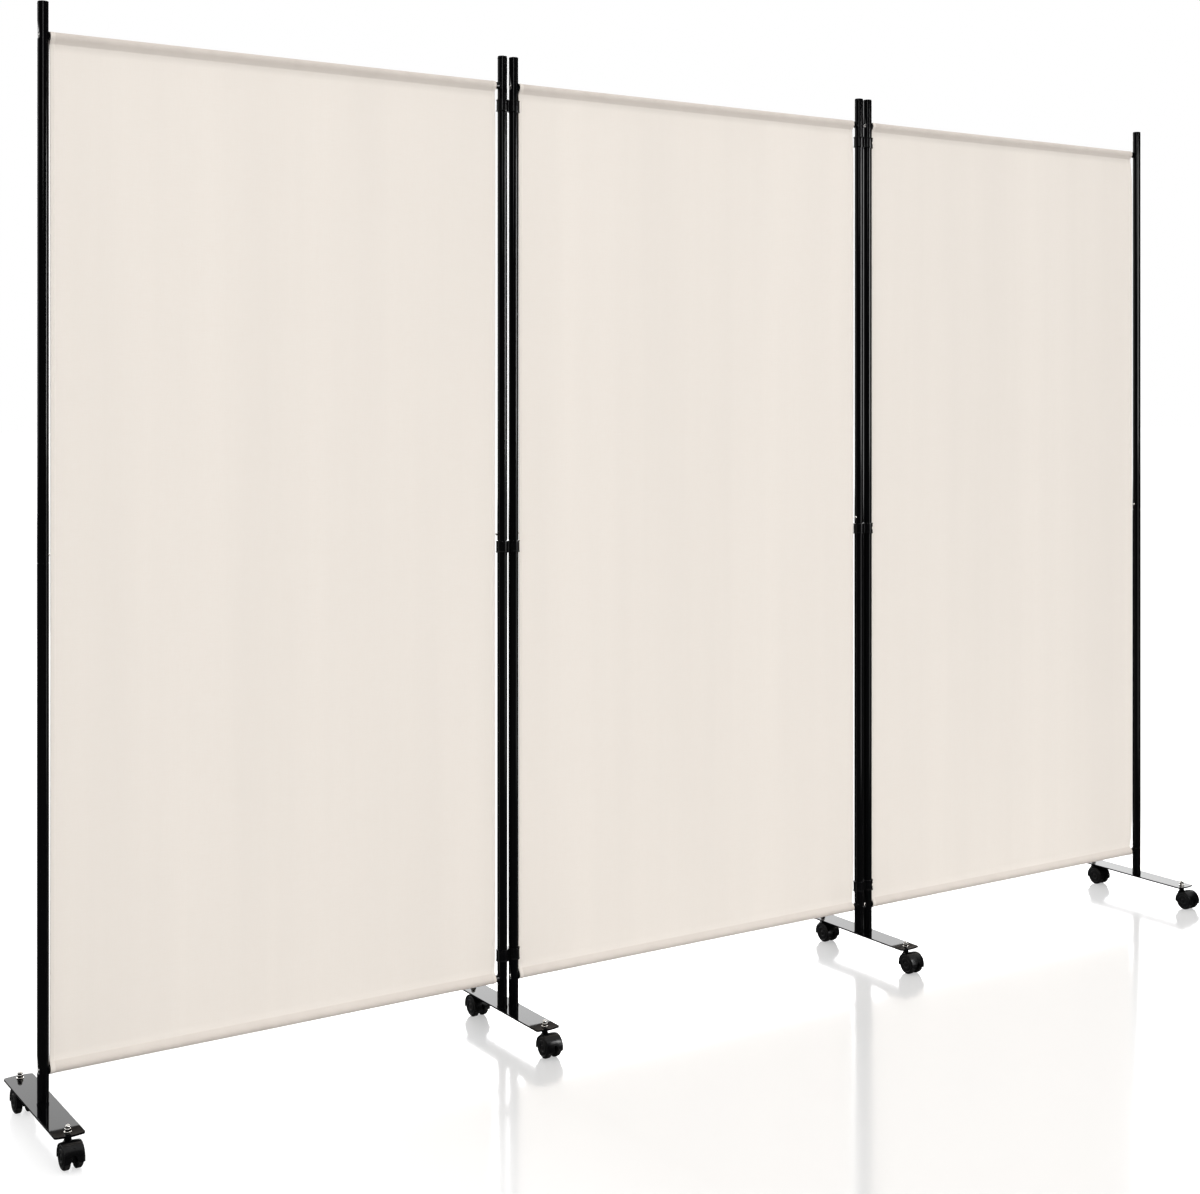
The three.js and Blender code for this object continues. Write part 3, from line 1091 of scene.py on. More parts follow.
@dataclass
class ClothPanel:
    """One panel's cloth, wound round both bars and sewn to itself.

    Attributes:
        name: left, middle or right.
        phase: where its ripples start.
        end_cut: how far its sleeves stop short at their right ends.
        shift: how far it hangs to the right of the middle between its posts.
        lap: distance from the sheet to its tail behind it, in thicknesses.
        tail: how far the cloth goes on behind the sheet, past the seam.
        hem_swell: how much thicker the cloth is at its side hems.
        edge: width over which a side edge is rounded, and over which a hem swells.
        edge_round: how round that edge is, from 0 for square to 1.
        hem_back: share of the swelling by which the cloth behind a side hem steps back.
        edge_pull: how far the side edges come in at half height.
        pull_power: how fast that pull dies out from the edge inwards.
        cut_reach: share of the height over which a sleeve's short end finds back to the edge.
        pucker_fade: how fast the pucker dies out from a seam.
        pucker_group: length over which it grows and wanes.
        seam_in: distance of a seam's ends from the cloth's edge, and of the even columns from a side hem.
        seam_stitch: distance of the stitches from the seam that they hold.
        hem_stitch: distance of a side hem's stitches from its inner border, towards the edge.
        seam_fade: heights over a seam between which the painted shade on a sleeve sets in.
        seam_dark: strength of the painted shade at a sleeve's seam; it is whole on the bar's far side.
        hem_fade: distances from a side hem's inner border between which the hem takes painted shade away.
        hem_hides: share of the painted shade that a side hem takes away.
    """

    name: str
    phase: float
    end_cut: float
    shift: float = -2.0 * MM
    thickness: float = 0.8 * MM
    lap: float = 1.12
    tail: float = 8 * MM
    side_hem: float = 7.5 * MM
    hem_swell: float = 0.7 * MM
    edge: float = 0.4 * MM
    edge_round: float = 0.9
    hem_back: float = 1.1
    edge_pull: float = 1.5 * MM
    pull_power: float = 6
    cut_reach: float = 0.02
    sleeve: float = 20 * MM
    ripple: float = 0.32 * MM
    pucker: float = 0.16 * MM
    pucker_length: float = 24.3 * MM
    pucker_fade: float = 14
    pucker_group: float = 190 * MM
    bow: float = 0.5 * MM
    row_step: float = 12 * MM
    column_step: float = 6 * MM
    seam_in: float = 3 * MM
    seam_stitch: float = 1.6 * MM
    hem_stitch: float = 1.4 * MM
    seam_fade: Span = (-0.4 * MM, 1.2 * MM)
    seam_dark: float = 0.5
    hem_fade: Span = (-0.6 * MM, 0.2 * MM)
    hem_hides: float = 0.45
    stitch_pitch: float = 4.2 * MM
    stitch_length: float = 3.2 * MM
    stitch_radius: float = 0.24 * MM

    def __post_init__(self) -> None:
        """Reads the panel's place from the frame."""
        low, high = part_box(f"{self.name}_fabric")
        self.middle = (low.x + high.x) / 2 + self.shift
        self.half = (high.x - low.x) / 2
        self.y = (low.y + high.y) / 2
        self.outside = (high.y - low.y) / 2
        self.round = self.outside - self.thickness / 2
        self.top = high.z - self.outside
        self.bottom = low.z + self.outside
        self.drop = self.sleeve - self.outside
        self.high_seam = self.top - self.drop
        self.low_seam = self.bottom + self.drop

    def path(self) -> Array:
        """The cloth's middle line in (y, z), from its upper tail over both bars to its lower tail.

        It climbs behind the sheet, leaves the seam along the bar's tangent, goes round the bar, comes back to
        the seam along the front tangent and runs down to the other bar, where the same follows in reverse.

        Returns:
            Rows of (y, z).
        """
        lean = math.acos(self.round / self.drop)
        behind = self.thickness * self.lap
        around = np.linspace(2 * np.pi - lean, lean, 30)
        over = np.stack([-self.round * np.sin(around), self.top - self.round * np.cos(around)], axis=1)
        ends = np.linspace(0, 1, 5)[:, None]
        tail = np.array([[behind, self.high_seam - self.tail]]) * (1 - ends) + ends * [behind, self.high_seam]
        back = (1 - ends) * [behind, self.high_seam] + ends * over[0]
        front = (1 - ends) * over[-1] + ends * [0, self.high_seam]
        upper = np.concatenate([tail, back[1:-1], over, front[1:]])
        lower = upper[::-1] * [1, -1] + [0, self.top + self.bottom]
        count = int((self.high_seam - self.low_seam) / self.row_step)
        heights = np.linspace(self.high_seam, self.low_seam, count + 2)[1:-1]
        sheet = np.stack([np.zeros(count), heights], axis=1)
        return np.concatenate([upper, sheet, lower])

    def share_up(self, z: Array) -> Array:
        """Returns the share of the way up from the lower seam to the upper one."""
        return np.clip((z - self.low_seam) / (self.high_seam - self.low_seam), 0, 1)

    def wave(self, x: Array, z: Array) -> Array:
        """How far the stretched sheet stands forward or back.

        Upright ripples that are strongest near the bars, a finer pucker that dies out within a hand's width
        of each seam, and a shallow bow; all are zero at the seams.

        Args:
            x: distance to the right of the cloth's middle.
            z: height.

        Returns:
            How far it stands back; less than zero to the front.
        """
        share = self.share_up(z)
        near = np.abs(2 * share - 1) ** 2
        free = np.sqrt(np.sin(np.pi * share))
        upright = sum(weight * np.sin(2 * np.pi * x / length + phase * self.phase + lean * share)
                      for length, weight, phase, lean in RIPPLES)
        gather = np.sin(2 * np.pi * x / self.pucker_length + self.phase)
        gather = gather * np.exp(-(1 - np.abs(2 * share - 1)) * self.pucker_fade)
        gather *= 0.6 + 0.4 * np.sin(2 * np.pi * x / self.pucker_group + self.phase)
        bow = np.sin(np.pi * (x + self.half) / (2 * self.half)) * np.sin(np.pi * share)
        drape = free * (self.ripple * (0.35 + 0.65 * near) * upright + self.bow * bow)
        return drape + self.pucker * gather * free

    def pull(self, x: Array, share: Array) -> Array:
        """How far the cloth is drawn in towards its middle.

        The side edges come in by a flattened half sine of their share of the way up between the seams. On the
        right the sleeves stop short, and the edge finds its way back within a hand's width of each seam. Both
        die out across the cloth as a power of the distance from its middle.

        Args:
            x: distance to the right of the cloth's middle.
            share: share of the way up between the seams.

        Returns:
            What is taken off x.
        """
        waist = self.edge_pull * np.clip(np.sin(np.pi * share), 0, 1) ** 0.4
        short = self.end_cut * np.exp(-np.minimum(share, 1 - share) / self.cut_reach)
        return (waist + np.where(x > 0, short, 0)) * np.sign(x) * np.abs(x / self.half) ** self.pull_power

    def columns(self) -> Array:
        """Places across the panel: close together at the side hems, even between them.

        Returns:
            The places, from left to right.
        """
        edge = np.array([0, 0.12, 0.4, 1.2, 3.5]) * MM
        fold = self.side_hem + np.array([-0.5, -0.2, 0.2, 0.5]) * MM
        side = np.concatenate([edge, fold])
        inner = self.half - self.side_hem - self.seam_in
        count = int(2 * inner / self.column_step)
        return np.concatenate([side - self.half, np.linspace(-inner, inner, count), (self.half - side)[::-1]])

    def cloth(self, body: str) -> bpy.types.Object:
        """Builds the cloth as two skins half a thickness to either side of its middle line.

        Args:
            body: what it rides on.

        Returns:
            The finished cloth.
        """
        line = self.path()
        run = np.concatenate([[0], np.cumsum(np.linalg.norm(np.diff(line, axis=0), axis=1))])
        tangent = np.gradient(line, axis=0)
        tangent /= np.linalg.norm(tangent, axis=1, keepdims=True)
        x = self.columns()[None]
        from_edge = self.half - np.abs(x)
        sheet = smooth_step(from_edge, self.side_hem - self.edge, self.side_hem + self.edge)
        thick = self.thickness + self.hem_swell * (1 - sheet)
        thick = thick * np.sqrt(1 - self.edge_round * (1 - np.clip(from_edge / self.edge, 0, 1)) ** 2)
        behind = (line[:, :1] > self.thickness * 0.5) & (np.abs(tangent[:, :1]) < 0.2)
        y, z = line[:, :1] + behind * (thick - self.thickness) * self.hem_back, line[:, 1:] + 0 * x
        within = (z < self.high_seam) & (z > self.low_seam)
        y = y + np.where(within, self.wave(x + 0 * z, z), 0)
        pulled = x - self.pull(x, self.share_up(z))
        skins = [np.stack([self.middle + pulled, self.y + y - side * thick * tangent[:, 1:],
                           z + side * thick * tangent[:, :1]], axis=-1) for side in (-0.5, 0.5)]
        piece = build(f"{self.name}_cloth", [between(*skins)], CLOTH, sharp=60)
        self.map_cut(piece.data, line, run)
        return seat(piece, body, "cream_cloth", f"{self.name}_fabric")

    def map_cut(self, mesh: bpy.types.Mesh, line: Array, run: Array) -> None:
        """Maps the cloth by its cut, in metres, and marks the painted shade that stands in for the dark bar
        showing through.

        The map's first coordinate is the distance across, the second the distance along the middle line,
        found as the run of the nearest point of that line. The painted-shade mark is 0 on the sheet, starts
        at half on a sleeve's seam and is whole where the cloth lies on the bar's far side, so it lifts the
        underside of the upper sleeve and darkens that of the lower one. The side hems take nearly half of it
        away.

        Args:
            mesh: the cloth's mesh.
            line: the cloth's middle line.
            run: distance along that line of each of its points.
        """
        places = corners_of(mesh)
        flat = places[:, 1:] - [self.y, 0]
        parts = np.array_split(flat, len(flat) // 4000 + 1)
        gaps = (((part[:, None] - line[None]) ** 2).sum(-1) for part in parts)
        nearest = np.concatenate([np.argmin(gap, axis=1) for gap in gaps])
        # Painted shade for the bar behind the cloth: half at the seam, whole on the bar's far side, less
        # under the side hems.
        sleeve = np.maximum(flat[:, 1] - self.high_seam, self.low_seam - flat[:, 1])
        over = smooth_step(sleeve, 0, self.sleeve)
        dark = smooth_step(sleeve, *self.seam_fade) * (self.seam_dark + (1 - self.seam_dark) * over)
        inside = self.half - np.abs(places[:, 0] - self.middle) - self.side_hem
        dark *= 1 - self.hem_hides * (1 - smooth_step(inside, *self.hem_fade))
        mark(mesh, "hem", dark)
        corner = np.empty(len(mesh.loops), int)
        mesh.loops.foreach_get("vertex_index", corner)
        cut = np.stack([places[:, 0] - self.middle, run[nearest]], axis=1)
        mesh.uv_layers.new(name="cut").data.foreach_set("uv", cut[corner].ravel())

    def stitching(self, body: str) -> bpy.types.Object:
        """Builds the seams of both sleeves and both side hems, on the front and on the back.

        Every stitch is one small capsule: the same template, turned along its seam and carried to its place.
        Behind the sleeves' seams the stitches lie on the tail of the cloth.

        Args:
            body: what it rides on.

        Returns:
            The finished stitching.
        """
        inner, short = self.half - self.seam_in, self.seam_in + MM
        x = np.arange(-inner, inner, self.stitch_pitch)
        z = np.arange(self.low_seam + short, self.high_seam - short, self.stitch_pitch)
        share = (z - self.low_seam) / (self.high_seam - self.low_seam)
        places = [np.stack([x, np.full_like(x, seam)], axis=1)
                  for seam in (self.high_seam - self.seam_stitch, self.low_seam + self.seam_stitch)]
        for side in (-1, 1):
            edge = side * (self.half - self.side_hem + self.hem_stitch) + 0 * z
            places.append(np.stack([edge - self.pull(edge, share), z], axis=1))
        spot = np.concatenate(places)
        stands = np.repeat([0.0, 1.0], [2 * len(x), 2 * len(z)])
        swell = np.where(stands > 0, self.hem_swell, 0)
        tail = np.where(stands > 0, 0, self.thickness * self.lap)
        sheet = self.wave(spot[:, 0], spot[:, 1])
        lifts = [side * (self.thickness + swell) / 2 + (side > 0) * tail for side in (-1, 1)]
        shells = [self.stitches(spot, sheet + lift, stands) for lift in lifts]
        return seat(build(f"{self.name}_stitching", shells, THREAD, sharp=80), body, "cream_cloth")

    def stitches(self, spot: Array, y: Array, stands: Array) -> Shell:
        """Carries one capsule to many places.

        The capsule's rings have radius r sqrt(1 - t ** 4), with t from -1 to 1 along it.

        Args:
            spot: (x, z) of each stitch.
            y: depth of each stitch.
            stands: 1 where a stitch runs upright, 0 where it runs across.

        Returns:
            All stitches as one shell.
        """
        along = np.array([-1, -0.86, 0.0, 0.86, 1])
        around = np.linspace(0, 2 * np.pi, 5, endpoint=False)
        radius = self.stitch_radius * np.sqrt(1 - along ** 4)
        template = wound(radius[:, None], self.stitch_length / 2 * along[:, None], around, Turn.ALONG)
        one, count = template.corners, len(template.corners)
        centre = np.stack([self.middle + spot[:, 0], self.y + y, spot[:, 1]], axis=1)
        grid = np.where(stands[:, None, None] > 0, one[:, [2, 1, 0]], one) + centre[:, None]
        quads = template.quads + (np.arange(len(spot)) * count)[:, None, None]
        return Shell(grid.reshape(-1, 3), quads.reshape(-1, 4))


def bent(start: Array, middle: Array, end: Array) -> Array:
    """Nine points of a quadratic curve: (1 - t)^2 start + 2 t (1 - t) middle + t^2 end."""
    share = np.linspace(0, 1, 9)[:, None]
    return (1 - share) ** 2 * start + 2 * share * (1 - share) * middle + share ** 2 * end


@dataclass
class BasePlates:
    """Lacquered base plates with arched ends, collars, pegs and a bead of weld."""

    thickness: float = 3.0 * MM
    bulge: float = 2.5 * MM
    corner: float = 6.0 * MM
    bevel: float = 0.3 * MM
    hold: float = 0.25 * MM
    collar: float = 9.7 * MM
    collar_height: float = 3.0 * MM
    bead: float = 0.35 * MM
    peg_gap: float = 1.3 * MM
    peg_chamfer: float = 2.0 * MM

    def outline(self, node: str) -> Array:
        """Straight sides, corners as quadratic curves and ends as shallow quadratic arches.

        Args:
            node: the plate's node.

        Returns:
            Points of the closed outline, two columns.
        """
        low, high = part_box(node)
        half, reach = (high.x - low.x) / 2, (high.y - low.y) / 2 - self.bulge
        side, end = np.array([half, reach - self.corner]), np.array([half - self.corner, reach])
        corner = bent(side, np.array([half, reach]), end)
        arch = bent(end, np.array([0, reach + 2 * self.bulge]), end * [-1, 1])
        quarter = np.concatenate([corner[:-1], arch[:5]])
        upper = np.concatenate([quarter, (quarter * [-1, 1])[::-1][1:]])
        middle = [(low.x + high.x) / 2, (low.y + high.y) / 2]
        return np.concatenate([upper, -upper]) + middle

    def plate(self, number: int, posts: Sequence[Upright]) -> bpy.types.Object:
        """Builds one plate with what is welded on it.

        Args:
            number: the plate's number, from the left.
            posts: the posts that stand on it.

        Returns:
            The finished plate.
        """
        node = f"base_plate_{number}"
        low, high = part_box(node)
        top = low.z + self.thickness
        levels = [(inset, low.z + rise) for inset, rise in eased(self.thickness, self.bevel, self.hold)]
        shells = [slab(self.outline(node), levels)]
        for post in posts:
            peg, foot, brim = post.radius - self.peg_gap, self.collar + self.bead, top + self.collar_height
            shells.append(turned(rounded([
                (0, top - MM, 0), (foot, top - MM, 0), (foot, top + 0.1 * self.bead, 0),
                (self.collar, top + self.bead, 0.5 * self.bead),
                (self.collar, brim, 0.16 * self.collar_height), (peg, brim, 0),
                (peg, high.z - self.peg_chamfer, 0), (peg - self.peg_chamfer, high.z, 0), (0, high.z, 0),
            ]), sides=64, centre=(post.x, post.y, 0)))
        piece = build(f"base_{number}_plate", shells, PLATE_LACQUER)
        return seat(piece, f"base_{number}", "plate_paint", node)


@dataclass
class HingeClips:
    """Figure-8 clips round both posts of a pair, with a raised rim above and below.

    Attributes:
        edge_bend: share of an outer edge at which its chamfer bends.
        bore_edge: share of an outer edge that an inner one measures.
        turn: share of half a turn over which the outline keeps to the ring.
        waist_power: power that eases the ring's circle into the web.
        waist_ease: share of the ring's radius before its middle over which that sets in.
        fork_start: share of the fork's depth over which its gap is even.
        fork_steep: how fast it widens after that.
    """

    rim: float = 2.4 * MM
    rim_rise: float = 0.5 * MM
    edge: float = 0.5 * MM
    edge_bend: float = 0.3
    bore_edge: float = 0.4
    web: float = 9.0 * MM
    fit: float = 0.3 * MM
    turn: float = 0.8
    waist_power: float = 5.0
    waist_ease: float = 0.4
    fork_gap: float = 6.0 * MM
    fork_flare: float = 4.4 * MM
    fork_depth: float = 8.0 * MM
    fork_start: float = 0.45
    fork_steep: float = 2.2
    turn_steps: int = 40
    waist_steps: int = 8
    middle_steps: int = 8

    def half_outline(self, ring: float, half_pair: float, shrink: Array) -> Array:
        """Outline of one half, seen from its post's axis, at every level.

        Its half width is (c ** p + w ** p) ** (1 / p), which eases the ring's circle c into the web w. It
        starts where the web meets the middle plane, goes round the post, and comes back along that plane.

        Args:
            ring: outer radius of the ring.
            half_pair: distance from the post's axis to the middle plane.
            shrink: how far each level lies inside the full outline.

        Returns:
            Places (u, v) on every level, (levels, points, 2).
        """
        ring_now, web_now = ring - shrink[:, None], self.web / 2 - shrink[:, None]
        angle = np.linspace(0, self.turn * np.pi, self.turn_steps)
        arc_u = ring_now * np.cos(angle)
        share = np.linspace(0, 1, self.waist_steps + 1)[1:]
        waist_u = arc_u[:, -1:] * (1 - share) - half_pair * share
        u = np.concatenate([arc_u, waist_u], axis=1)
        circle = np.sqrt(np.clip(ring_now ** 2 - u ** 2, 0, None))
        power = self.waist_power
        blend = (circle ** power + web_now ** power) ** (1 / power)
        ease = smooth_step(-u, -self.waist_ease * ring, 0)
        v = np.where(u < 0, blend, circle * (1 - ease) + blend * ease)
        v[:, 0] = 0
        upper = np.stack([u, v], axis=-1)[:, ::-1]
        lower = (upper * [1, -1])[:, ::-1][:, 1:]
        share = np.linspace(0, 1, self.middle_steps + 1)[1:-1, None]
        plane = lower[:, -1:] * (1 - share) + upper[:, :1] * share
        return np.concatenate([upper, lower, plane], axis=1)

    def half(self, ring: float, bore: float, half_pair: float, low: float, high: float) -> Shell:
        """One half of a clip as a closed section carried round its post.

        The section runs up the outside with its rims, in over the top, down the bore and out underneath. The
        stretch along the middle plane has no outside wall, because the other half goes on there.

        Args:
            ring: outer radius of the ring.
            bore: radius of its hole.
            half_pair: distance from the post's axis to the middle plane.
            low: height of its underside.
            high: height of its top.

        Returns:
            The shell, open where the other half joins it.
        """
        e, rim, rise = self.edge, self.rim, self.rim_rise
        bend, small = self.edge_bend * e, self.bore_edge * e
        outside = [(e, low), (bend, low + bend), (0, low + e), (0, low + rim), (rise, low + rim + rise),
                   (rise, high - rim - rise), (0, high - rim), (0, high - e), (bend, high - bend), (e, high)]
        shrink, height = np.array(outside).T
        wall = self.half_outline(ring, half_pair, shrink)
        angle = np.arctan2(wall[..., 1], wall[..., 0])[:1]
        circle = bore * np.stack([np.cos(angle), np.sin(angle)], axis=-1)
        eased_circle = circle * (1 + small / bore)
        flat = np.concatenate([wall, eased_circle, circle, circle, eased_circle])
        tall = np.concatenate([height, [high, high - small, low + small, low]])
        grid = np.concatenate([flat, np.broadcast_to(tall[:, None, None], (*flat.shape[:2], 1))], axis=-1)
        shell = lattice(grid, wrap_rows=True, wrap_columns=True)
        columns = grid.shape[1]
        row, column = shell.quads[:, 0] // columns, shell.quads[:, 0] % columns
        first_plane = columns - (self.middle_steps - 1) - 1
        inner_wall = (row < len(outside) - 1) & (column >= first_plane)
        return Shell(shell.corners, shell.quads[~inner_wall])

    def fork(self, x: float, y: float, middle: float, ring: float) -> bpy.types.Object:
        """A cutter that parts a ring into two rounded lobes: its gap widens outwards like a funnel.

        Args:
            x: outer end of the clip.
            y: middle of the clip from front to back.
            middle: middle of its height.
            ring: outer radius of the ring.

        Returns:
            The cutter.
        """
        share = np.linspace(0, 1, 12)
        reach = x - self.fork_depth + share * (self.fork_depth + MM)
        flare = self.fork_flare * np.clip(share - self.fork_start, 0, 1) ** 2 * self.fork_steep
        gap = self.fork_gap / 2 + flare
        lower = np.stack([reach, middle - gap], axis=1)
        upper = np.stack([reach, middle + gap], axis=1)
        outline = np.concatenate([lower, upper[::-1]])
        shell = slab(outline, [(0, y - ring - MM), (0, y + ring + MM)], (0, 2, 1))
        return build("fork cutter", [shell], CLIP_PLASTIC)

    def clip(self, name: str, level: str, base: int, forked: bool,
             posts: tuple[Upright, Upright]) -> bpy.types.Object:
        """Builds one clip round two posts.

        Args:
            name: left or right.
            level: top, middle or bottom.
            base: number of the base that it rides on.
            forked: whether its right ring is parted.
            posts: both posts, the left one first.

        Returns:
            The finished clip.
        """
        node = f"{name}_clip_{level}"
        low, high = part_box(node)
        middle = (low.x + high.x) / 2
        ring, half_pair = (high.y - low.y) / 2, (posts[1].x - posts[0].x) / 2
        right = self.half(ring, posts[0].radius + self.fit, half_pair, low.z, high.z).moved((half_pair, 0, 0))
        halves = [shell.moved((middle, posts[0].y, 0)) for shell in (right, right.mirrored(0))]
        piece = build(f"{name}_{level}_hinge_clip", halves, CLIP_PLASTIC, sharp=30)
        if forked:
            carved(piece, [self.fork(high.x, posts[0].y, (low.z + high.z) / 2, ring)], sharp=30)
        return seat(piece, f"base_{base}", "clip_plastic", node)


# Outer side of a wheel, from its hub out, in millimetres: radius, distance from the outermost face, rounding.
WHEEL_FACE = ((0, 0.1, 0), (3.2, 0.1, 1.2), (4.2, 0.9, 0.3), (6.4, 0.9, 0.3), (7.0, 0.1, 0.3), (11.6, 0, 0.4),
              (12.2, 0.9, 0.3), (14.6, 1.0, 0.3), (15.2, 0.45, 0.3), (17.4, 0.8, 0.8))


@dataclass
class Casters:
    """Hooded twin-wheel casters, drawn once at the origin of the axle and carried to their eight places.

    Attributes:
        trail: distance of the axle behind the stem.
        hood_power: power of the hood's crown across the caster.
        shell_thin: share of the shell's thickness that is left beside the crown.
        web_inset: how far the web's disc stays inside the hood, in shells.
        notch_power: power of the notch's sides.
        hub: radius of the web under the axle.
        eye_angle: how far the eye leans from level, in degrees.
        eye_seat: radius of the eye's floor over that of the eye.
        eye_depth: how deep that floor lies, in shells.
        tread_in: distance of a wheel's inner face from the middle.
        shoulder: width of the tread's outer shoulder.
        dust: depth over which the tread is dusty.
        nut_steep: slope of the nut's chamfers.
    """

    trail: float = 16 * MM
    hood_radius: float = 22 * MM
    hood_crown: float = 1.0 * MM
    hood_power: float = 2.6
    shell: float = 1.2 * MM
    shell_thin: float = 0.75
    lip: float = 0.7 * MM
    half_width: float = 16 * MM
    web: float = 10 * MM
    web_inset: float = 0.6
    skirt: float = 5.5 * MM
    notch_rise: float = 12.5 * MM
    notch_half: float = 7.0 * MM
    notch_depth: float = 7.0 * MM
    notch_power: float = 1.3
    hub: float = 11 * MM
    neck: float = 5.5 * MM
    neck_rim: float = 0.6 * MM
    neck_flare: float = 3.2 * MM
    socket: float = 3.6 * MM
    eye_radius: float = 2.0 * MM
    eye_angle: float = 42.0
    eye_seat: float = 1.35
    eye_depth: float = 2.4
    wheel_radius: float = 20 * MM
    tread_in: float = 5.5 * MM
    shoulder: float = 3.1 * MM
    shoulder_round: float = 2.2 * MM
    inner_edge: float = 0.7 * MM
    axle: float = 2.5 * MM
    dust: float = 1.6 * MM
    pin_radius: float = 3.3 * MM
    pin_depth: float = 20 * MM
    flange: float = 1.0 * MM
    seat_gap: float = 0.3 * MM
    thread: float = 3.0 * MM
    washer: float = 5.9 * MM
    washer_height: float = 1.3 * MM
    nut_width: float = 9.0 * MM
    nut_hex: float = 4.4 * MM
    nut_steep: float = 1.5
    nut_dome: float = 4.1 * MM
    nut_height: float = 10.2 * MM

    def fender(self) -> Shell:
        """The curved hood over both wheels.

        Across the caster its outside falls by the crown as a power of the distance from the middle, and both
        skins close in a half ellipse at the lips. Round the axle it runs from the skirt's front edge to its
        rear edge, whose height rises to the notch in the middle.

        Returns:
            The closed shell.
        """
        share = np.sin(np.linspace(-np.pi / 2, np.pi / 2, 45))
        x = share * self.half_width
        outer = self.hood_radius - self.hood_crown * np.abs(share) ** self.hood_power
        inner = np.minimum(self.hood_radius - self.shell, outer - self.shell_thin * self.shell)
        past = np.clip((np.abs(x) - self.half_width + self.lip) / self.lip, 0, 1)
        half = (outer - inner) / 2 * np.sqrt(1 - past ** 2)
        middle = (outer + inner) / 2
        rise = self.notch_rise * np.clip(1 - (np.abs(x) / self.notch_half) ** self.notch_power, 0, 1)
        along = np.linspace(0, 1, 90)[:, None]
        skins = []
        for side in (1, -1):
            radius = middle + side * half
            start = -np.arcsin(self.skirt / radius)
            end = np.pi - np.arcsin((rise - self.skirt) / radius)
            angle = start + (end - start) * along
            skins.append(np.stack([x + 0 * along, radius * np.cos(angle), radius * np.sin(angle)], axis=-1))
        return between(*skins)

    def web_plate(self) -> Shell:
        """The wall between the wheels: a disc cut off at the skirt, with a hub below and a notch behind.

        Returns:
            The closed shell.
        """
        disc, drop = self.hood_radius - self.web_inset * self.shell, -self.skirt
        shelf, back = self.notch_rise - self.skirt, -self.hood_radius + self.notch_depth
        front, rear = (math.degrees(math.asin(height / disc)) for height in (drop, shelf))
        under = math.degrees(math.atan2(-drop, math.sqrt(self.hub ** 2 - drop ** 2)))
        top = arc((0, 0), disc, front, 180 - rear, 40)
        low = arc((0, 0), self.hub, 180 + under, 360 - under, 20)
        outline = np.concatenate([top, [[back, shelf - 2 * MM], [back, drop]], low])
        levels = [(inset, rise - self.web / 2) for inset, rise in eased(self.web, 0.4 * MM, 0.1 * MM, 2)]
        return slab(outline, levels, (2, 0, 1))

    def neck_tube(self, top: float) -> Shell:
        """The socket for the stem: a tube that flares into the hood and ends in a rim.

        Args:
            top: height of its top over the axle.

        Returns:
            The closed shell.
        """
        surface = math.sqrt(self.hood_radius ** 2 - self.trail ** 2)
        neck, flare = self.neck, self.neck_flare
        wide, rim = neck + flare, neck + self.neck_rim
        outline = rounded([
            (self.socket, surface - 3 * MM, 0), (wide, surface - 3 * MM, 0), (wide, surface - 0.5 * MM, 0),
            (neck, surface + 0.9 * flare, 2.2 * flare), (neck, top - 1.4 * MM, 0),
            (rim, top - 1.1 * MM, 0.2 * MM), (rim, top, 0.3 * MM), (self.socket, top, 0.2 * MM),
        ])
        return turned(outline, sides=48, centre=(0, self.trail, 0), loop=True)

    def hood(self, top: float) -> bpy.types.Object:
        """Builds the hood at the axle's origin.

        Args:
            top: height of the neck's top over the axle.

        Returns:
            The pattern of all hoods.
        """
        lean = Matrix.Rotation(math.pi / 2 - math.radians(self.eye_angle), 4, "X")
        fender = build("hood pattern", [self.fender()], HOOD_PLASTIC, sharp=42)
        square = np.array([[0, 0], [1, 0], [1, 1], [0, 1]])
        bit = turned(square * [self.eye_radius, 6 * MM], sides=24, centre=(0, 0, self.hood_radius - 3 * MM))
        cutter = build("eye cutter", [bit], HOOD_PLASTIC)
        cutter.data.transform(lean)
        carved(fender, [cutter], sharp=42)
        eye_floor = turned(square * [self.eye_seat * self.eye_radius, MM], sides=24,
                           centre=(0, 0, self.hood_radius - self.eye_depth * self.shell))
        floor = build("eye floor", [eye_floor], HOOD_PLASTIC)
        floor.data.transform(lean)
        inside = build("hood inside", [self.web_plate(), self.neck_tube(top)], HOOD_PLASTIC, sharp=32)
        work = bmesh.new()
        for part in (fender, floor, inside):
            work.from_mesh(part.data)
        work.to_mesh(fender.data)
        work.free()
        for part in (floor, inside):
            bpy.data.objects.remove(part)
        crisp(fender.data, sharp=34)
        return fender

    def wheels(self) -> bpy.types.Object:
        """Builds both wheels and their axle at the axle's origin, and marks the treads.

        Each wheel's profile goes from the hub's domed cap over a groove and a raised ring to the rounded
        tread and in again to the axle.

        Returns:
            The pattern of all wheels.
        """
        inner, outer, radius = self.tread_in, self.half_width, self.wheel_radius
        face = [(reach * MM, outer - depth * MM, turn * MM) for reach, depth, turn in WHEEL_FACE]
        tread = [(radius, outer - self.shoulder, self.shoulder_round), (radius, inner + self.inner_edge, 0),
                 (radius - self.inner_edge, inner, 0.5 * MM), (self.axle, inner, 0)]
        profile = rounded([*face, *tread], steps=4)
        both = np.concatenate([profile * [1, -1], profile[::-1]])
        piece = build("wheel pattern", [turned(both, sides=72, turn=Turn.ALONG)], WHEEL_NYLON, sharp=36)
        places = corners_of(piece.data)
        spread = np.hypot(places[:, 1], places[:, 2])
        mark(piece.data, "tread", smooth_step(spread, radius - self.dust, radius))
        return piece

